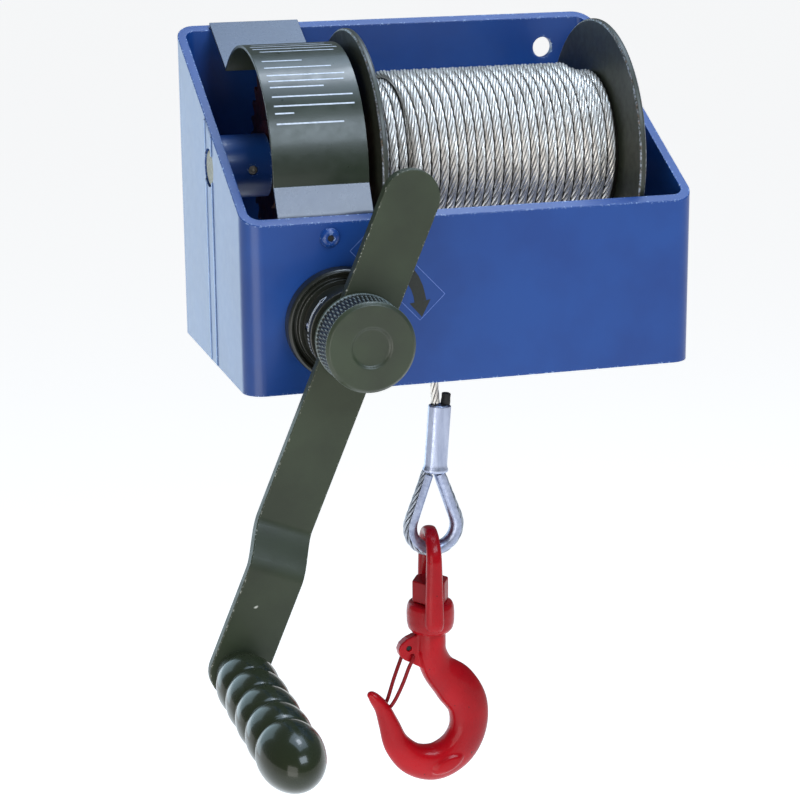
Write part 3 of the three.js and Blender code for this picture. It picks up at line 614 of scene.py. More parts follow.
def build_frame():
    outer = rounded(0, 0, WIDTH, DEPTH, BEND_OUTER)
    inner = rounded(PLATE, PLATE, WIDTH - PLATE, DEPTH - PLATE, BEND_INNER)
    count = len(outer)
    points = []
    for outline in (outer, inner):
        points += [(x, y, 0) for x, y in outline] + [(x, y, top_at(y)) for x, y in outline]
    faces = []
    for k in range(count):
        n = (k + 1) % count
        for low, high in ((0, 1), (1, 3), (3, 2), (2, 0)):
            faces.append((low * count + k, low * count + n, high * count + n, high * count + k))
    shell = make("frame_shell", points, faces, FRAME)
    tools = [axle_cutter(), rod("y", BEARING_HOLE_RADIUS, -PAST, PLATE + 4, CRANK),
             rod("y", SCREW_HOLE_RADIUS, -PAST, PLATE + 4, COVER_SCREW, 24)]
    for x, z in MOUNT_HOLES:
        tools.append(rod("y", MOUNT_HOLE_RADIUS, DEPTH - PLATE - 4, DEPTH + PAST, at(x, 0, z)))
    cut(shell, *tools)
    eased(shell, 1.1, 4, 40)
    settle(shell, "housing", BLUE, ["front_shell", "back_shell"])


def build_seams():
    """A flat band between two fine ridges closes each side of the frame."""
    half, ridge_at, ridge_half = 8.5, 7.3, 0.65
    bottom, below_top = 0.6, 2.0
    low = [(-half, -0.2), (-half, 0.1), (-6.6, 0.12), (6.6, 0.12), (half, 0.1), (half, -0.2)]
    ridge = [(-1.0, -0.1), (-0.8, 0.4), (-0.35, 0.65), (0.35, 0.65), (0.8, 0.4), (1.0, -0.1)]
    for side, base, sign in (("left", 0, -1), ("right", WIDTH, 1)):

        def band(name, section):
            rings = [[(base + sign * out, AXLE_Y + y, bottom + share * (top_at(AXLE_Y + y) - below_top))
                      for y, out in section] for share in (0.0, 1.0)]
            return cut(loft(name, rings, FRAME), axle_cutter())

        halves = [f"seam_{side}_lower", f"seam_{side}_upper"]
        seam = band(f"seam_{side}", low)
        settle(eased(seam, 0, 1, 30), "housing", BLUE, halves)
        for k, centre in enumerate((-ridge_at, ridge_at)):
            line = band(f"seam_ridge_{side}_{k}", [(centre + y * ridge_half, out) for y, out in ridge])
            # The ridges are painted pale blue: a painted highlight on each.
            settle(eased(line, 0, 1, 50), "housing", RIDGE_HIGHLIGHT_BLUE)


BOSS_RADIUS = 17
SET_SCREW_X, SET_SCREW_HOLE = 20.5, 2.6


def build_axle():
    for side, start, end in (("left", 5.2, 31), ("right", 227.4, 244.8)):
        bore = AXLE_RADIUS + 0.3
        profile = [(bore, start), (BOSS_RADIUS, start), (BOSS_RADIUS, end), (bore, end)]
        ring = spun(f"boss_{side}", "x", profile, AXLE)
        if side == "left":
            cut(ring, rod("y", SET_SCREW_HOLE, -BOSS_RADIUS - PAST, 0, AXLE @ moved(SET_SCREW_X), 24))
        eased(ring, 0.7, 3, 40)
        settle(ring, "housing", BLUE, [f"boss_{side}"])
    inset, chamfer, radius = 0.6, 0.7, AXLE_RADIUS - 0.1
    half = [(0, inset), (radius - chamfer, inset), (radius, inset + chamfer)]
    profile = half + [(r, WIDTH - x) for r, x in half[::-1]]
    axle = eased(spun("drum_axle", "x", profile, AXLE), 0.2, 2, 30)
    settle(axle, "housing", AXLE_STEEL, ["drum_axle"])


# ---- Gear cover ----

COVER_RADIUS, COVER_SHEET = 63.7, 1.6
COVER_LEFT, COVER_RIGHT = 20.0, 71.5


STRAIGHT_ENOUGH = math.cos(math.radians(10))


def softened(path, radius, steps=5):
    """A flat path with each corner sharper than ten degrees rounded."""
    points = [np.array(p, float) for p in path]
    result = [points[0]]
    for before, corner, after in zip(points, points[1:], points[2:]):
        back, ahead = before - corner, after - corner
        lengths = np.linalg.norm(back), np.linalg.norm(ahead)
        straight = -(back @ ahead) / (lengths[0] * lengths[1])
        if straight > STRAIGHT_ENOUGH:
            result.append(corner)
            continue
        reach = min(radius, lengths[0] * 0.45, lengths[1] * 0.45)
        first, last = corner + back / lengths[0] * reach, corner + ahead / lengths[1] * reach
        for k in range(steps + 1):
            t = k / steps
            result.append((1 - t) ** 2 * first + 2 * t * (1 - t) * corner + t ** 2 * last)
    result.append(points[-1])
    return result


def sheet_outline(path, thickness):
    """The closed outline of a bent sheet whose middle follows the path."""
    path = np.array(path)
    sides = across_flat(directions(path)) * thickness / 2
    return [tuple(p) for p in path + sides] + [tuple(p) for p in (path - sides)[::-1]]


def cover_arc(angle, lift=0.0):
    radius = COVER_RADIUS + lift
    return (radius * math.cos(math.radians(angle)), radius * math.sin(math.radians(angle)))


def build_cover():
    tab_y = PLATE + 1.1 + COVER_SHEET / 2 - AXLE_Y
    tab_bottom, tab_top, arc_end, arc_steps = 72, 91.5, 47, 72
    start = 180 + math.degrees(math.asin(1.8 / COVER_RADIUS))
    arc = [cover_arc(start + (arc_end - start) * k / arc_steps) for k in range(arc_steps + 1)]
    rear_y = DEPTH - 2
    rear = (rear_y - AXLE_Y, top_at(rear_y) + 0.3 + COVER_SHEET - AXLE_Z)
    path = softened([(tab_y, tab_bottom - AXLE_Z), (tab_y, tab_top - AXLE_Z), *arc, rear], 3.0)
    strap = slab("gear_cover", "x", sheet_outline(path, COVER_SHEET), COVER_LEFT, COVER_RIGHT, AXLE)
    eased(strap, 0.35, 2, 40)
    settle(strap, "housing", COVER_PAINT, ["gear_cover"])
    # The flat foot and the flat rear strip are glossier than the rolled arc, and their paint is tinted
    # blue as a painted reflection of the light above.
    strap.data.materials.append(COVER_SHEEN)
    for face in strap.data.polygons:
        _, y, z = (face.center - ORIGIN) / MM
        face.material_index = int((y < 16 and 90 < z < 107) or y > 124)
    # Plain bars stand where the printed notes are: the angle, and the two ends across the sheet.
    bars = [(92, 6, 62), (96, 4, 66), (100, 4, 68), (104, 8, 64), (114, 6, 36), (119.5, 6, 56),
            (125, 6, 64), (128.8, 6, 62), (132.6, 6, 46), (138, 6, 66), (143, 6, 66), (146.8, 6, 20),
            (152, 6, 56)]
    bar_scale, bar_degrees, bar_lift, rows = 0.72, 0.75, 0.04, 3
    points, faces = [], []
    for angle, first, last in bars:
        base = len(points)
        for k in range(rows):
            y, z = cover_arc(angle + bar_degrees * k / (rows - 1), COVER_SHEET / 2 + bar_lift)
            points += [(COVER_LEFT + end * bar_scale, y, z) for end in (first, last)]
        faces += [(base + 2 * k, base + 2 * k + 1, base + 2 * k + 3, base + 2 * k + 2)
                  for k in range(rows - 1)]
    settle(make("cover_bars", points, faces, AXLE), "housing", PRINT)


def build_cover_screw():
    head = [(0, -2.4), (1.7, -2.4), (1.9, -3.2), (2.9, -3.3), (4.1, -2.7), (5.1, -0.9), (5.2, -0.1),
            (2.8, -0.1), (2.8, 14), (0, 14)]
    screw = eased(spun("cover_screw", "y", head, COVER_SCREW, 48), 0.25, 3, 30)
    settle(screw, "housing", BLUE, ["cover_screw"])
    # A near-black disc at the bottom of the socket: painted shade in the hollow.
    bottom = [(0, -2.5), (1.75, -2.5), (1.75, -2.42), (0, -2.42)]
    socket = spun("cover_screw_socket", "y", bottom, COVER_SCREW, 24)
    settle(socket, "housing", RECESS_SHADE_DARK)


# ---- Worm bearing, hub and crank ----


def build_bearing():
    profile = [(13.3, 14), (18, 14), (18, -0.1), (29.7, -0.1), (29.7, -6.2), (29.2, -7.4), (28.2, -8.1),
               (27.2, -7.9), (26.7, -6.2), (26.2, -5.7), (24.9, -5.6), (24.5, -6), (24.4, -8),
               (24.1, -8.3), (13.3, -8.3)]
    flange = eased(spun("bearing_flange", "y", profile, CRANK, 128), 0.3, 3, 35)
    settle(flange, "housing", BLACK, ["bearing_flange"])
    disc = spun("friction_washer", "y", [(10.4, -9.8), (22, -9.8), (22, -8.6), (10.4, -8.6)], CRANK)
    settle(eased(disc, 0.2, 2), "crank", FRICTION, ["friction_washer"])


HUB_SCREW_TILT, HUB_SCREW_Y = -14.0, -16.5
HUB_MARK_RADIUS = 22.62


def hub_mark(name, path, width):
    """A line of ink on the hub: path is (angle in degrees, y)."""
    points = []
    for (a0, y0), (a1, y1) in zip(path, path[1:]):
        steps = max(int(abs(a1 - a0) / 3), 1)
        points += [(a0 + (a1 - a0) * k / steps, y0 + (y1 - y0) * k / steps) for k in range(steps)]
    points.append(path[-1])
    round_hub = [(HUB_MARK_RADIUS * math.cos(math.radians(a)), y,
                  HUB_MARK_RADIUS * math.sin(math.radians(a))) for a, y in points]
    mark = tube(name, round_hub, width / 2, CRANK, 6)
    settle(mark, "crank", PRINT)


def build_hub():
    profile = [(0, -25), (8.3, -25), (8.3, -10.1), (21.4, -10.1), (22.6, -11.3), (22.6, -23.4),
               (21.9, -24), (21.9, -24.8), (23.3, -25.3), (23.4, -28.6), (22.8, -29), (0, -29)]
    hub = spun("crank_hub", "y", profile, CRANK, 128)
    screw_place = ARM @ moved(y=HUB_SCREW_Y) @ turned("Y", HUB_SCREW_TILT)
    cheeks = spun("cheeks", "y", [(0, -49.7), (19, -49.7), (19, -28.8), (0, -28.8)], ARM, 64)
    slot_half, reach = ARM_WIDTH / 2 + 0.4, 40
    corners = [(-slot_half, -reach), (slot_half, -reach), (slot_half, reach), (-slot_half, reach)]
    cut(cheeks, slab("slot", "y", corners, -60, -20, ARM))
    hub = joined("crank_hub", [hub, cheeks])
    cut(hub, spun("hole", "x", [(0, -30), (2.7, -30), (2.7, -8), (0, -8)], screw_place, 32))
    settle(eased(hub, 0.3, 3, 35), "crank", BLACK, ["crank_hub"])
    profile = [(0, -20.5), (1.2, -20.5), (1.3, -22.1), (2.3, -22.0), (2.5, -21.6), (2.5, -14), (0, -14)]
    screw = spun("hub_screw", "x", profile, screw_place, 32)
    settle(eased(screw, 0.15, 2), "crank", BRIGHT_ZINC, ["hub_screw"])
    # A generic turning arrow and a row of graduation ticks.
    arrow = [(176, -21.6), (134, -21.6), (134, -23.0), (124, -20.9), (134, -18.8), (134, -20.2),
             (176, -20.2), (176, -21.6)]
    hub_mark("hub_arrow", arrow, 0.35)
    for k in range(7):
        a = 181 + 5 * k
        hub_mark(f"hub_tick_{k}", [(a, -20.2), (a + 1.6, -21.8)], 0.6)


KNOB_RADIUS, KNOB_FRONT = 23.4, -60.4
KNURL_TEETH, KNURL_DEPTH, KNURL_CELL = 68, 1.1, 12.5


def build_knob():
    def knurl(angle, y):
        if not KNURL_END - 1e-6 <= y <= KNURL_START + 1e-6:
            return 0.0
        turn, shift = KNURL_TEETH * angle / (2 * math.pi), (y - KNURL_START) / KNURL_CELL
        ridges = [abs(((turn + sign * shift) % 1.0) * 2 - 1) for sign in (-1, 1)]
        fade = min(1.0, (KNURL_START - y) / 0.8, (y - KNURL_END) / 0.8)
        return -KNURL_DEPTH * (1 - min(ridges)) * max(fade, 0.0)

    steps = 40
    side = [(KNOB_RADIUS, KNURL_END + (KNURL_START - KNURL_END) * k / steps) for k in range(steps + 1)]
    face = [(0, -59.1), (8.8, -59.1), (9.5, -59.3), (10.2, -59.9), (10.7, -60.35), (11.4, KNOB_FRONT),
            (21.3, KNOB_FRONT), (21.9, -60.25), (22.2, -59.8), (22.7, -59.4), (23.1, -58.9),
            (23.3, KNURL_END)]
    back = [(22.9, -38.2), (22.6, -37.8), (22.7, -37.3), (23.1, -36.9), (23.2, -36.4), (22.8, -35.8),
            (19.3, -35.8), (19.3, -50.0), (12, -50.0), (12, -35.7), (0, -35.7)]
    knob = spun("clamp_knob", "y", face + side + back, ARM, KNURL_TEETH * 8, knurl)
    settle(eased(knob, 0, 1, 30), "knob", KNURLED, ["clamp_knob"])


JOGGLE, JOGGLE_START, JOGGLE_END = 15.0, 103.0, 129.0
ARM_TOP = 90.0


def smooth_step(share):
    return share * share * (3 - 2 * share)


def build_arm():
    middle = (ARM_BACK + ARM_FRONT) / 2
    path = [(middle, ARM_TOP + 5), (middle, 0), (middle, -60)]
    for k in range(25):
        share = k / 24
        path.append((middle - JOGGLE * smooth_step(share),
                     -JOGGLE_START - (JOGGLE_END - JOGGLE_START) * share))
    path += [(middle - JOGGLE, -150), (middle - JOGGLE, -GRIP_DROP - 25)]
    half = ARM_WIDTH / 2
    bar = slab("crank_arm", "x", sheet_outline(path, ARM_THICKNESS), -half, half, ARM)
    plan = []
    for centre, start in ((ARM_TOP - half, 0), (-GRIP_DROP, 180)):
        for k in range(25):
            angle = math.radians(start + 180 * k / 24)
            plan.append((half * math.cos(angle) * 1.0005, centre + half * math.sin(angle)))
    combined(bar, [slab("plan", "y", plan, -80, -10, ARM)], "INTERSECT")
    eased(bar, 0.7, 3, 42)
    settle(bar, "arm", OLIVE, ["crank_arm"])
    spindle = [(0, -41.3), (7, -41.3), (9, -42.7), (9, -44.0), (5, -44.0), (5, -175.5), (0, -175.5)]
    spindle = eased(spun("grip_spindle", "y", spindle, GRIP, 48), 0.3)
    settle(spindle, "arm", STEEL, ["grip_spindle"])
    collar = spun("grip_collar", "y", [(5.3, -54), (11.5, -54), (11.5, -50.5), (5.3, -50.5)], GRIP, 64)
    settle(eased(collar, 0.4), "arm", OLIVE, ["grip_collar"])


GRIP_BASE, GRIP_FIRST_RING, GRIP_PITCH, GRIP_RINGS = -54.3, -60.6, 21.9, 4
GRIP_BORE, GRIP_NECK, GRIP_VALLEY, GRIP_SWELL = 5.3, 12.9, 13.3, 15.9
GRIP_END, DOME_RADIUS = -184.8, 16.3
# Below one, the power makes the rings fuller than a sine, with tight valleys.
RING_POWER = 0.62


def build_grip():
    profile = [(GRIP_BORE, GRIP_BASE), (GRIP_NECK - 0.5, GRIP_BASE), (GRIP_NECK, GRIP_BASE - 0.5),
               (GRIP_NECK, GRIP_FIRST_RING + 0.4)]
    per_ring, dome_steps = 16, 18
    for ring in range(GRIP_RINGS):
        grown = 0.25 * ring / GRIP_RINGS
        for k in range(per_ring):
            share = k / per_ring
            swell = math.sin(math.pi * share) ** RING_POWER
            profile.append((GRIP_VALLEY + grown + (GRIP_SWELL - GRIP_VALLEY) * swell,
                            GRIP_FIRST_RING - (ring + share) * GRIP_PITCH))
    dome_base = GRIP_FIRST_RING - GRIP_RINGS * GRIP_PITCH
    shoulder = dome_base - 10.5
    for k in range(11):
        share = k / 10
        swell = math.sin(share * math.pi / 2) ** RING_POWER
        profile.append((GRIP_VALLEY + (DOME_RADIUS - GRIP_VALLEY) * swell,
                        dome_base + (shoulder - dome_base) * share))
    for k in range(1, dome_steps + 1):
        angle = math.pi / 2 * k / dome_steps
        profile.append((DOME_RADIUS * math.cos(angle) if k < dome_steps else 0.0,
                        shoulder + (GRIP_END - shoulder) * math.sin(angle)))
    grip = spun("grip", "y", [(0.0, -176.0), (GRIP_BORE, -176.0), *profile], GRIP, 128)
    settle(eased(grip, 0, 1), "grip", GRIP_GLOSS, ["grip"])


# ---- Drum and rope ----

FLANGE_RADIUS, FLANGE_THICKNESS = 71.4, 3.8
LEFT_FLANGE, RIGHT_FLANGE = 76.9, 220.6
TOP_LAYER, LOWER_LAYER, TOP_END = 45.5, 41.2, 205.0
PITCH = 5.1
POINTS_PER_TURN = 120


def build_flanges():
    for name, start in (("drum_flange_left", LEFT_FLANGE), ("drum_flange_right", RIGHT_FLANGE)):
        end = start + FLANGE_THICKNESS
        profile = [(14.3, start), (FLANGE_RADIUS - 0.9, start), (FLANGE_RADIUS, start + 0.9),
                   (FLANGE_RADIUS, end - 0.9), (FLANGE_RADIUS - 0.9, end), (14.3, end)]
        flange = eased(spun(name, "x", profile, AXLE, 180), 0.4, 3, 30)
        settle(flange, "drum", FLANGE_PAINT, [name])


def flange_paint():
    """Satin black, rubbed to bright metal and specks of rust along the rim."""
    look = Look("flange_paint", Coat_Weight=0.1, Coat_Roughness=0.2)
    tone = look.mix(look.patches(24, 4, 0.35, 0.65), tint(48, 52, 41), tint(38, 41, 33))
    radius = away_from_axis(look, 1, 2, AXLE.translation)
    within = look.span(radius, (FLANGE_RADIUS - 1.2) * MM, (FLANGE_RADIUS - 0.95) * MM)
    rim = look.span(radius, (FLANGE_RADIUS - 0.35) * MM, (FLANGE_RADIUS - 0.1) * MM, 1.0, 0.0)
    worn = look.times(look.times(within, rim), look.span(look.noise(1.2, 5, 0.7), 0.44, 0.58))
    bare = look.mix(look.patches(2.6, 3, 0.5, 0.62), tint(176, 184, 196), tint(140, 116, 98))
    look.set(Base_Color=look.mix(worn, tone, bare), Metallic=look.times(worn, 0.8))
    return look.finish((0.36, 0.52), 5, 4, look.bump(look.noise(0.9, 3), 0.03, look.bump(worn, -0.06)))


FLANGE_PAINT = flange_paint()


def drum_point(turn, radius, x):
    angle = 2 * math.pi * turn
    return (x, -radius * math.cos(angle), radius * math.sin(angle))


def live_radius(turn):
    """Radius of the top layer, a little larger where the hanging rope leaves it."""
    return TOP_LAYER + max(0.0, 1 - turn / 0.08) ** 2


def top_point(turn):
    """The rope on the drum, counted in turns from where it leaves at the front. The first turns lean
    to the left at the back, and past TOP_END the rope drops to the layer below."""
    lean = 10 * math.exp(-turn / 4) * (1 - math.cos(2 * math.pi * turn)) / 2
    x = TANGENT_X + PITCH * turn - lean
    drop = min(max((x - TOP_END) / 3.0, 0.0), 1.0)
    return drum_point(turn, live_radius(turn) - (TOP_LAYER - LOWER_LAYER) * smooth_step(drop), x)


def build_wound_rope():
    def wound(name, path, **lay):
        settle(stranded(name, path, AXLE, **lay), "drum", WIRE, ["wound_rope"])

    total = (RIGHT_FLANGE - 3.2 - TANGENT_X) / PITCH
    cuts = [0, total / 3, 2 * total / 3, total]
    for k, (start, end) in enumerate(zip(cuts, cuts[1:])):
        steps = int((end - start) * POINTS_PER_TURN)
        path = [top_point(start + (end - start) * j / steps) for j in range(steps + 1)]
        wound(f"wound_rope_{k + 1}", path, offset=2 * math.pi * TOP_LAYER * start)
    # The layer under it shows at the left, and runs on under the first turns of the top layer.
    first, last = LEFT_FLANGE + FLANGE_THICKNESS + ROPE_RADIUS + 0.2, 116
    turns = (last - first) / PITCH
    steps = int(turns * POINTS_PER_TURN)
    path = [drum_point(turns * j / steps + 0.35, LOWER_LAYER, first + PITCH * turns * j / steps)
            for j in range(steps + 1)]
    wound("wound_rope_4", path, phase=1.0)
    left, right = LEFT_FLANGE + FLANGE_THICKNESS + 0.3, RIGHT_FLANGE - 0.3
    # A dark solid fills under the rope layers: painted shade for the hidden turns below.
    inside, under_lower, under_top = 28, 40.2, 44.0
    core = [(inside, left), (under_lower, left), (under_lower, 109), (under_top, 109), (under_top, 203),
            (under_lower, 203), (under_lower, right), (inside, right)]
    settle(eased(spun("rope_under", "x", core, AXLE), 0), "drum", ROPE_SHADE_DARK)


def build_free_rope():
    start = (TANGENT_X, ROPE_Y, AXLE_Z)
    end = (FERRULE_X - 1.1, ROPE_Y, FERRULE_TOP + 0.5)
    path = [tuple(a + (b - a) * k / 60 for a, b in zip(start, end)) for k in range(61)]
    rope = stranded("free_rope", path, FRAME, step=1.2, sides=10)
    rope.data.materials.append(WIRE)
    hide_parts("free_rope")
    to_row = [FRAME @ Vector(p) for p in path]
    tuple(to_row[0])
    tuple(to_row[-1])
    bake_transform(rope)
    length = (to_row[-1] - to_row[0]).length
    # Rope already on the drum carries on above the tangent, so that lifting the hook shows no gap.
    turns = [0.085 * k / 20 for k in range(21)]
    arc = [drum_point(turn, live_radius(turn), TANGENT_X) for turn in turns]
    lead = stranded("rope_lead", arc, AXLE, radius=2.3, step=1.2)
    settle(lead, "housing", WIRE)
    return rope, to_row, length


# ---- Ferrule and thimble eye ----


FERRULE_HALF_WIDE, FERRULE_HALF_THICK, FERRULE_FACET = 6.55, 4.85, math.pi / 5


def build_ferrule():
    half = FERRULE_LENGTH / 2
    # Scale of the section, and height.
    stations = [(0.86, half), (0.97, half - 0.5), (1.0, half - 1.2), (0.99, 4), (1.0, -half + 5),
                (1.03, -half + 3.4), (1.11, -half + 2.2), (1.13, -half + 1.4), (1.10, -half + 0.6),
                (0.95, -half)]
    section = []
    for k in range(48):
        angle = 2 * math.pi * k / 48
        local = ((angle + FERRULE_FACET / 2) % FERRULE_FACET) - FERRULE_FACET / 2
        flat = 0.35 + 0.65 * math.cos(FERRULE_FACET / 2) / math.cos(local)
        section.append((flat * math.cos(angle), flat * math.sin(angle)))
    rings = [[(FERRULE_HALF_WIDE * scale * a, FERRULE_HALF_THICK * scale * b, z) for a, b in section]
             for scale, z in stations]
    ferrule = loft("ferrule", rings, FERRULE)
    settle(eased(ferrule, 0.25, 2, 40), "rope_end", ZINC, ["ferrule"])
    profile = [(0, half + 0.3), (2.7, half + 0.3), (2.75, half + 2), (2.5, half + 4), (2.6, half + 6.2),
               (2.2, half + 6.6), (0, half + 6.0)]
    sides = 24
    ragged = [random.uniform(-0.35, 0.25) for _ in range(sides)]
    stub = spun("taped_end", "z", profile, FERRULE @ moved(3.1), sides,
                lambda angle, z: ragged[round(angle / (2 * math.pi) * sides) % sides] * (z - half) / 6)
    settle(eased(stub, 0), "rope_end", TAPE, ["taped_end"])
    return ferrule, stub


EYE_TOP = -61.8 - EYE_Z


def teardrop(radius, half_top, top, steps=40):
    """A circle that runs tangent up to two points close together at the top."""
    reach = math.degrees(math.atan2(top, half_top)) - math.degrees(
        math.acos(radius / math.hypot(half_top, top)))
    points = [(half_top, top)]
    straight = 10
    a = math.radians(reach)
    touch = (radius * math.cos(a), radius * math.sin(a))
    points += [(half_top + (touch[0] - half_top) * k / straight, top + (touch[1] - top) * k / straight)
               for k in range(1, straight)]
    for k in range(steps + 1):
        a = math.radians(reach + (-180 - 2 * reach) * k / steps)
        points.append((radius * math.cos(a), radius * math.sin(a)))
    return points + [(-x, z) for x, z in points[:straight][::-1]]


def mirrored(section):
    """The rest of a section whose last point is on its line of symmetry."""
    return [(a, -b) for a, b in section[-2::-1]]


def build_eye():
    outline = teardrop(15.1, 3.8, EYE_TOP + 3.0)
    rope = stranded("eye_rope", [(x, 0, z) for x, z in outline], EYE, step=1.0, sides=10)
    settle(rope, "rope_end", GREY_WIRE, ["eye_rope"])
    middle = np.array(teardrop(11.4, 1.9, EYE_TOP + 1.0))
    outward = across_flat(directions(middle))
    if outward[len(middle) // 2][1] > 0:
        outward = -outward
    # The channel's section: distance outwards, and distance across the eye.
    outer = [(3.9, -4.0), (1.6, -4.3), (-0.4, -3.6), (-1.4, -2.0), (-1.7, 0.0)]
    inner = [(3.9, 3.4), (1.5, 3.5), (0.4, 2.8), (-0.3, 1.5), (-0.5, 0.0)]
    section = [*outer, *mirrored(outer), *inner, *mirrored(inner)]
    rings = [[(x + nx * out, y, z + nz * out) for out, y in section]
             for (x, z), (nx, nz) in zip(middle, outward)]
    thimble = loft("thimble", rings, EYE)
    settle(eased(thimble, 0.25, 2, 50), "rope_end", BRIGHT_ZINC, ["thimble"])
    return rope, thimble


# ---- Swivel hook ----

BOW_INNER, BOW_TOP, BOW_INNER_TOP = 11.2, -91.0, -95.7
COLLAR_TOP, COLLAR_BOTTOM = -134.4, -152.8
NUT_RADIUS, NUT_TOP = 10.7, -121.5


def superellipse(half_a, half_b, power=2.4, sides=32):
    points = []
    for k in range(sides):
        angle = 2 * math.pi * k / sides
        c, s = math.cos(angle), math.sin(angle)
        points.append((half_a * math.copysign(abs(c) ** (2 / power), c),
                       half_b * math.copysign(abs(s) ** (2 / power), s)))
    return points


def build_bow():
    """Two legs and an arch, each with half widths across its plane and in it, fused with a collar."""
    arch = BOW_INNER_TOP - BOW_INNER
    leg = BOW_INNER + 3.4
    end = COLLAR_BOTTOM + 5.0
    path, sizes = [], []
    for k in range(21):
        share = k / 20
        path.append((0, -leg - 0.2, end + (arch - end) * share))
        grow = min(1.0, share * 9)
        sizes.append((5.5 * (0.72 + 0.28 * math.sin(grow * math.pi / 2)) - 1.1 * share,
                      3.6 * (0.6 + 0.4 * math.sin(grow * math.pi / 2))))
    for k in range(1, 24):
        angle = math.pi * k / 24
        across = math.sin(angle)
        path.append((0, -leg * math.cos(angle), arch + (BOW_TOP - arch - 2.7) * across))
        sizes.append((4.4 - 0.5 * across, 3.6 - 0.95 * across))
    for k in range(21):
        share = 1 - k / 20
        path.append((0, leg + 0.2, end + (arch - end) * share))
        sizes.append((5.5 - 1.1 * share, 3.6))
    points = np.array(path)
    rings = []
    for point, tangent, (wide, thick) in zip(points, directions(points), sizes):
        out = np.cross(tangent, (1, 0, 0))
        section = superellipse(wide, thick)
        rings.append([tuple(point + np.array((a, 0, 0)) + b * out) for a, b in section])
    bow = loft("bow", rings, BOW)
    collar = [(7.6, COLLAR_TOP), (10.4, COLLAR_TOP), (12.3, -135.2), (13.2, -137.4), (13.5, -141),
              (13.4, -146.5), (12.7, -149.8), (11, -152), (9, COLLAR_BOTTOM), (7.6, COLLAR_BOTTOM)]
    fused = forged(joined("swivel_bow", [bow, spun("collar", "z", collar, BOW, 96)]), 0.55, 6)
    settle(fused, "bow", RED, ["swivel_bow"])


def build_nut():
    angles = [math.radians(60 * k) for k in range(6)]
    corners = [(NUT_RADIUS * math.cos(angle), NUT_RADIUS * math.sin(angle)) for angle in angles]
    nut = slab("hook_nut", "z", corners, COLLAR_TOP + 0.3, NUT_TOP, HOOK)
    settle(eased(nut, 0.9, 4, 40), "hook", NUT_RED, ["hook_nut"])


# The hook's middle line, with its half width in the hook's plane and half thickness across it.
HOOK_STATIONS = [
    (0, -148.0, 8.3, 8.3), (0, -157.0, 8.6, 8.6), (0.3, -165, 8.7, 8.6), (4.4, -175.5, 9.8, 8.3),
    (13.8, -186, 12.3, 8), (21.7, -199, 11.8, 8), (21.9, -214.5, 11.2, 8.2), (14.9, -226.5, 11.4, 8.2),
    (2.9, -232.4, 11.2, 8.2), (-10.3, -229.3, 9.6, 7.6), (-20.3, -218.8, 7.6, 6.8), (-25, -206, 5.9, 6),
    (-29, -195.5, 4.4, 5), (-33.6, -188.8, 3.2, 3.8), (-35.2, -186.6, 2.2, 2.6)]
# The middle of the hook's bowl, which its thicker side faces.
BOWL = (-4.0, -203.0)


def smooth_curve(rows, per_span):
    """A centripetal curve through rows of numbers."""
    rows = np.array(rows, float)
    ends = np.vstack([2 * rows[0] - rows[1], rows, 2 * rows[-1] - rows[-2]])
    result = []
    for k in range(1, len(ends) - 2):
        p = ends[k - 1:k + 3]
        knots = [0.0]
        for a, b in zip(p, p[1:]):
            knots.append(knots[-1] + max(np.linalg.norm(b[:2] - a[:2]), 1e-6) ** 0.5)
        for j in range(per_span):
            t = knots[1] + (knots[2] - knots[1]) * j / per_span
            level = p
            for reach in (1, 2):
                shares = [(t - knots[i], knots[i + reach] - knots[i]) for i in range(4 - reach)]
                level = [a + (b - a) * done / whole
                         for a, b, (done, whole) in zip(level, level[1:], shares)]
            result.append(level[0] + (level[1] - level[0]) * (t - knots[1]) / (knots[2] - knots[1]))
    result.append(rows[-1])
    return np.array(result)


LATCH_PIN = HOOK @ moved(-13.5, 0, -160.8)


def build_hook():
    line = smooth_curve(HOOK_STATIONS, 7)
    rings = []
    for (x, z, wide, thick), side in zip(line, across_flat(directions(line[:, :2]))):
        inward = 1.0 if (np.array(BOWL) - (x, z)) @ side > 0 else -1.0
        bowl_share = min(max((-165.0 - z) / 18.0, 0.0), 1.0)
        ring = []
        for k in range(40):
            angle = 2 * math.pi * k / 40
            c, s = math.cos(angle), math.sin(angle)
            egg = 1 + 0.24 * bowl_share * (c * inward - 0.15)
            a = wide * math.copysign(abs(c) ** 0.92, c)
            ring.append((x + side[0] * a, thick * egg * s, z + side[1] * a))
        rings.append(ring)
    blank = loft("blank", rings, HOOK)
    tip = spun("tip", "z", [(0, -2.6), (1.6, -2.0), (2.4, -0.8), (2.6, 0.4), (1.9, 1.8), (0, 2.5)],
               HOOK @ moved(-35.0, 0, -187.2), 24)
    neck = rod("z", 7, -156, -122, HOOK)
    lug_points = [(-6, -152.5), (-10.5, -153.6), (-14.8, -155.3), (-18.2, -158.0), (-19.6, -161.2),
                  (-19.0, -164.6), (-16.2, -167.6), (-12.4, -169.6), (-7, -173)]
    lug = slab("lug", "y", lug_points, -3.1, 3.1, HOOK)
    pad_points = [(0, -2.4), (4.5, -2.0), (6.4, -0.6), (6.6, 1.0), (0, 1.2)]
    pads = []
    for sign in (-1, 1):
        place = HOOK @ moved(7.5, sign * 7.6, -231.6) @ turned("Y", -24)
        place @= Matrix.Diagonal((1.7, 1, 0.8, 1))
        pads.append(spun("pad", "y", [(r * 0.9, d * -sign) for r, d in pad_points], place, 40))
    body = forged(joined("hook_body", [blank, tip, neck, lug, *pads]), 0.6, 5)
    cut(body, rod("y", 1.7, -8, 8, LATCH_PIN, 28))
    smooth_shaded(body.data)
    settle(body, "hook", RED, ["hook_body"])
    # The latch pin takes the same near black: painted shade where it sits in its hole.
    pin = rod("y", 1.3, -2.2, 2.2, LATCH_PIN, 24)
    pin.name = "latch_pin"
    settle(pin, "hook", RECESS_SHADE_DARK, ["latch_pin"])


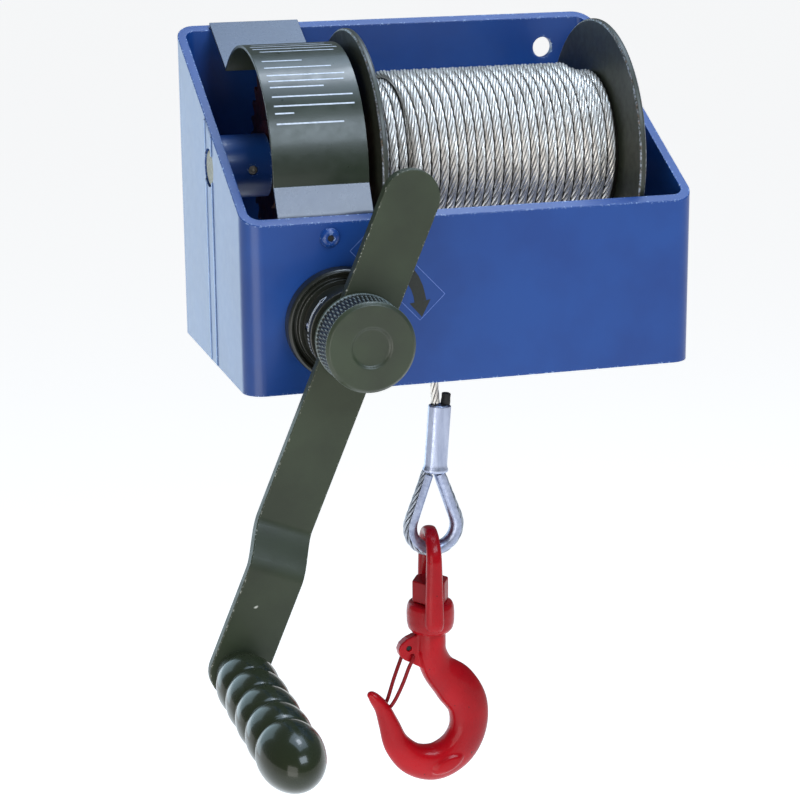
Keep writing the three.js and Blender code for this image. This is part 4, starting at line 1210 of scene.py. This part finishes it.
def build_latch():
    """One bent wire: both of its legs turn in to the lug, one on each side of it."""
    wire_radius = 1.1
    near = [(-11.7, -2.6, -165.2), (-11.7, -4.0, -165.5), (-12.1, -4.6, -166.9), (-14.2, -4.0, -172),
            (-17.2, -3.4, -180.4), (-21.6, -2.4, -190.4), (-24.2, -1.2, -194.9)]
    bend = [(-25.6, 0.0, -196.3), (-26.4, 1.4, -194.6)]
    far = [(-24.5, 2.6, -190.9), (-20.6, 3.8, -180.2), (-16.0, 4.6, -168.6), (-13.6, 4.6, -162.2),
           (-13.2, 3.8, -161.0), (-13.2, 2.6, -160.9)]
    latch = tube("latch_bail", smooth_curve(near + bend + far, 8), wire_radius, HOOK)
    smooth_shaded(latch.data)
    settle(latch, "latch", DARK_RED, ["latch_bail"])


# ---- Marks on the front plate ----


def flat_mark(name, outline, look, lift=0.06):
    points = [(x, -lift, z) for x, z in outline]
    mark = make(name, points, [tuple(range(len(points)))], FRAME)
    settle(mark, "housing", look)


def strip(start, end, width):
    (x0, z0), (x1, z1) = start, end
    length = math.hypot(x1 - x0, z1 - z0)
    nx, nz = -(z1 - z0) / length * width / 2, (x1 - x0) / length * width / 2
    return [(x0 + nx, z0 + nz), (x1 + nx, z1 + nz), (x1 - nx, z1 - nz), (x0 - nx, z0 - nz)]


def build_marks():
    left, bottom, right = (56.5, 74.2), (94.1, 34.8), (107.9, 48.0)
    top = (left[0] + right[0] - bottom[0], left[1] + right[1] - bottom[1])
    corners = [left, bottom, right, top]
    for k, (a, b) in enumerate(zip(corners, corners[1:] + corners[:1])):
        flat_mark(f"decal_edge_{k}", strip(a, b, 0.35), THIN_PRINT)
    outer = [(80.0, 70.2), (85.6, 67.8), (90.3, 63.2), (93.6, 58.4), (95.9, 53.0), (97.2, 47.6),
             (97.6, 45.5)]
    inner = [(91.1, 44.2), (90.6, 47.5), (89.3, 51.6), (87.0, 55.4), (83.6, 59.2), (79.0, 62.0)]
    flat_mark("arrow_shaft", outer + inner, ARROW, 0.08)
    flat_mark("arrow_head", [(88.4, 44.1), (95.2, 36.4), (100.0, 45.7)], ARROW, 0.1)


# ---- Nodes kept from the CAD part ----


KEPT_NODES = [
    (STEEL, ("axle_set_screw", "cover_nut", "flange_screw_1", "flange_screw_2", "flange_screw_3",
             "rope_tail", "rope_clamp", "clamp_screw_1", "clamp_screw_2", "worm_shaft", "retaining_ring")),
    (BRONZE, ("front_bush", "rear_bush", "drum_bush_left", "drum_bush_right")),
    (BLUE, ("worm_bracket",)),
    (IRON, ("worm_wheel",)),
    (ROPE_SHADE_DARK, ("drum_barrel",)),
]


def dress_kept_nodes():
    for look, names in KEPT_NODES:
        for name in names:
            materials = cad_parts[name].data.materials
            materials.clear()
            materials.append(look)


# ---- Camera, floor and light ----


# Fitted to the photo: where the camera stands, and how it is turned, in degrees.
CAMERA_PLACE, CAMERA_LENS, SENSOR_WIDTH = (-0.3739, -1.2875, 0.2193), 103.0, 36.0
AZIMUTH, ELEVATION, ROLL = -16.459, 15.067, -0.519


def build_camera():
    azimuth, elevation, roll = (math.radians(v) for v in (AZIMUTH, ELEVATION, ROLL))
    back = Vector((math.sin(azimuth) * math.cos(elevation), -math.cos(azimuth) * math.cos(elevation),
                   math.sin(elevation)))
    right = Vector((0, 0, 1)).cross(back).normalized()
    up = back.cross(right)
    tilted = math.cos(roll) * right + math.sin(roll) * up
    upright = -math.sin(roll) * right + math.cos(roll) * up
    camera = linked("camera", bpy.data.cameras.new("camera"))
    turn = Matrix((tilted, upright, back)).transposed().to_4x4()
    camera.matrix_world = moved(*CAMERA_PLACE) @ turn
    camera.data.lens = CAMERA_LENS
    camera.data.sensor_width = SENSOR_WIDTH
    bpy.context.scene.camera = camera


def build_floor():
    low, size = -0.95, 30.0
    corners = [(-size, -size, low), (size, -size, low), (size, size, low), (-size, size, low)]
    mesh = bpy.data.meshes.new("floor")
    mesh.from_pydata(corners, [], [(0, 1, 2, 3)])
    floor = linked("floor", mesh)
    look = Look("pale_floor", Base_Color=(0.9, 0.9, 0.9, 1), Roughness=0.9)
    look.set(Emission_Color=(1, 1, 1, 1), Emission_Strength=0.78)
    floor.data.materials.append(look.material)


LIT_POINT = (0.0, -0.1, -0.05)


def area_light(name, place, size, power, colour):
    light = bpy.data.lights.new(name, "AREA")
    light.shape = "RECTANGLE"
    light.size, light.size_y = size
    light.energy = power
    light.color = colour
    lamp = linked(name, light)
    lamp.location = place
    lamp.rotation_euler = (Vector(LIT_POINT) - Vector(place)).to_track_quat("-Z", "Y").to_euler()


def build_light():
    world = bpy.data.worlds.new("studio")
    bpy.context.scene.world = world
    world.use_nodes = True
    colour, strength = world.node_tree.nodes["Background"].inputs[:2]
    colour.default_value = (0.88, 0.94, 1.0, 1)
    strength.default_value = 0.17
    area_light("key", (0.34, -1.22, 0.92), (0.9, 0.6), 15, (0.72, 0.85, 1.0))
    area_light("top", (0.32, 0.12, 1.4), (1.2, 1.2), 16, (0.60, 0.78, 1.0))
    area_light("top_core", (0.3, 0.1, 1.35), (0.34, 0.34), 5, (0.80, 0.88, 1.0))
    area_light("back_left", (-0.85, 1.75, 0.15), (1.3, 1.9), 11, (0.60, 0.85, 1.0))
    area_light("front", (-1.35, -1.85, -0.2), (1.5, 1.7), 19, (1.0, 0.98, 0.95))
    bpy.context.scene.view_settings.view_transform = "Standard"


build_camera()
free_rope, rope_path, rope_length = build_free_rope()
ferrule, stub = build_ferrule()
eye_rope, thimble = build_eye()
build_bow()
build_nut()
build_hook()
build_latch()
tuple(rope_path[0])
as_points(rope_path)
build_frame()
build_seams()
build_axle()
build_cover()
build_cover_screw()
build_bearing()
build_hub()
build_arm()
build_knob()
build_grip()
build_flanges()
build_wound_rope()
build_marks()
dress_kept_nodes()
build_floor()
build_light()
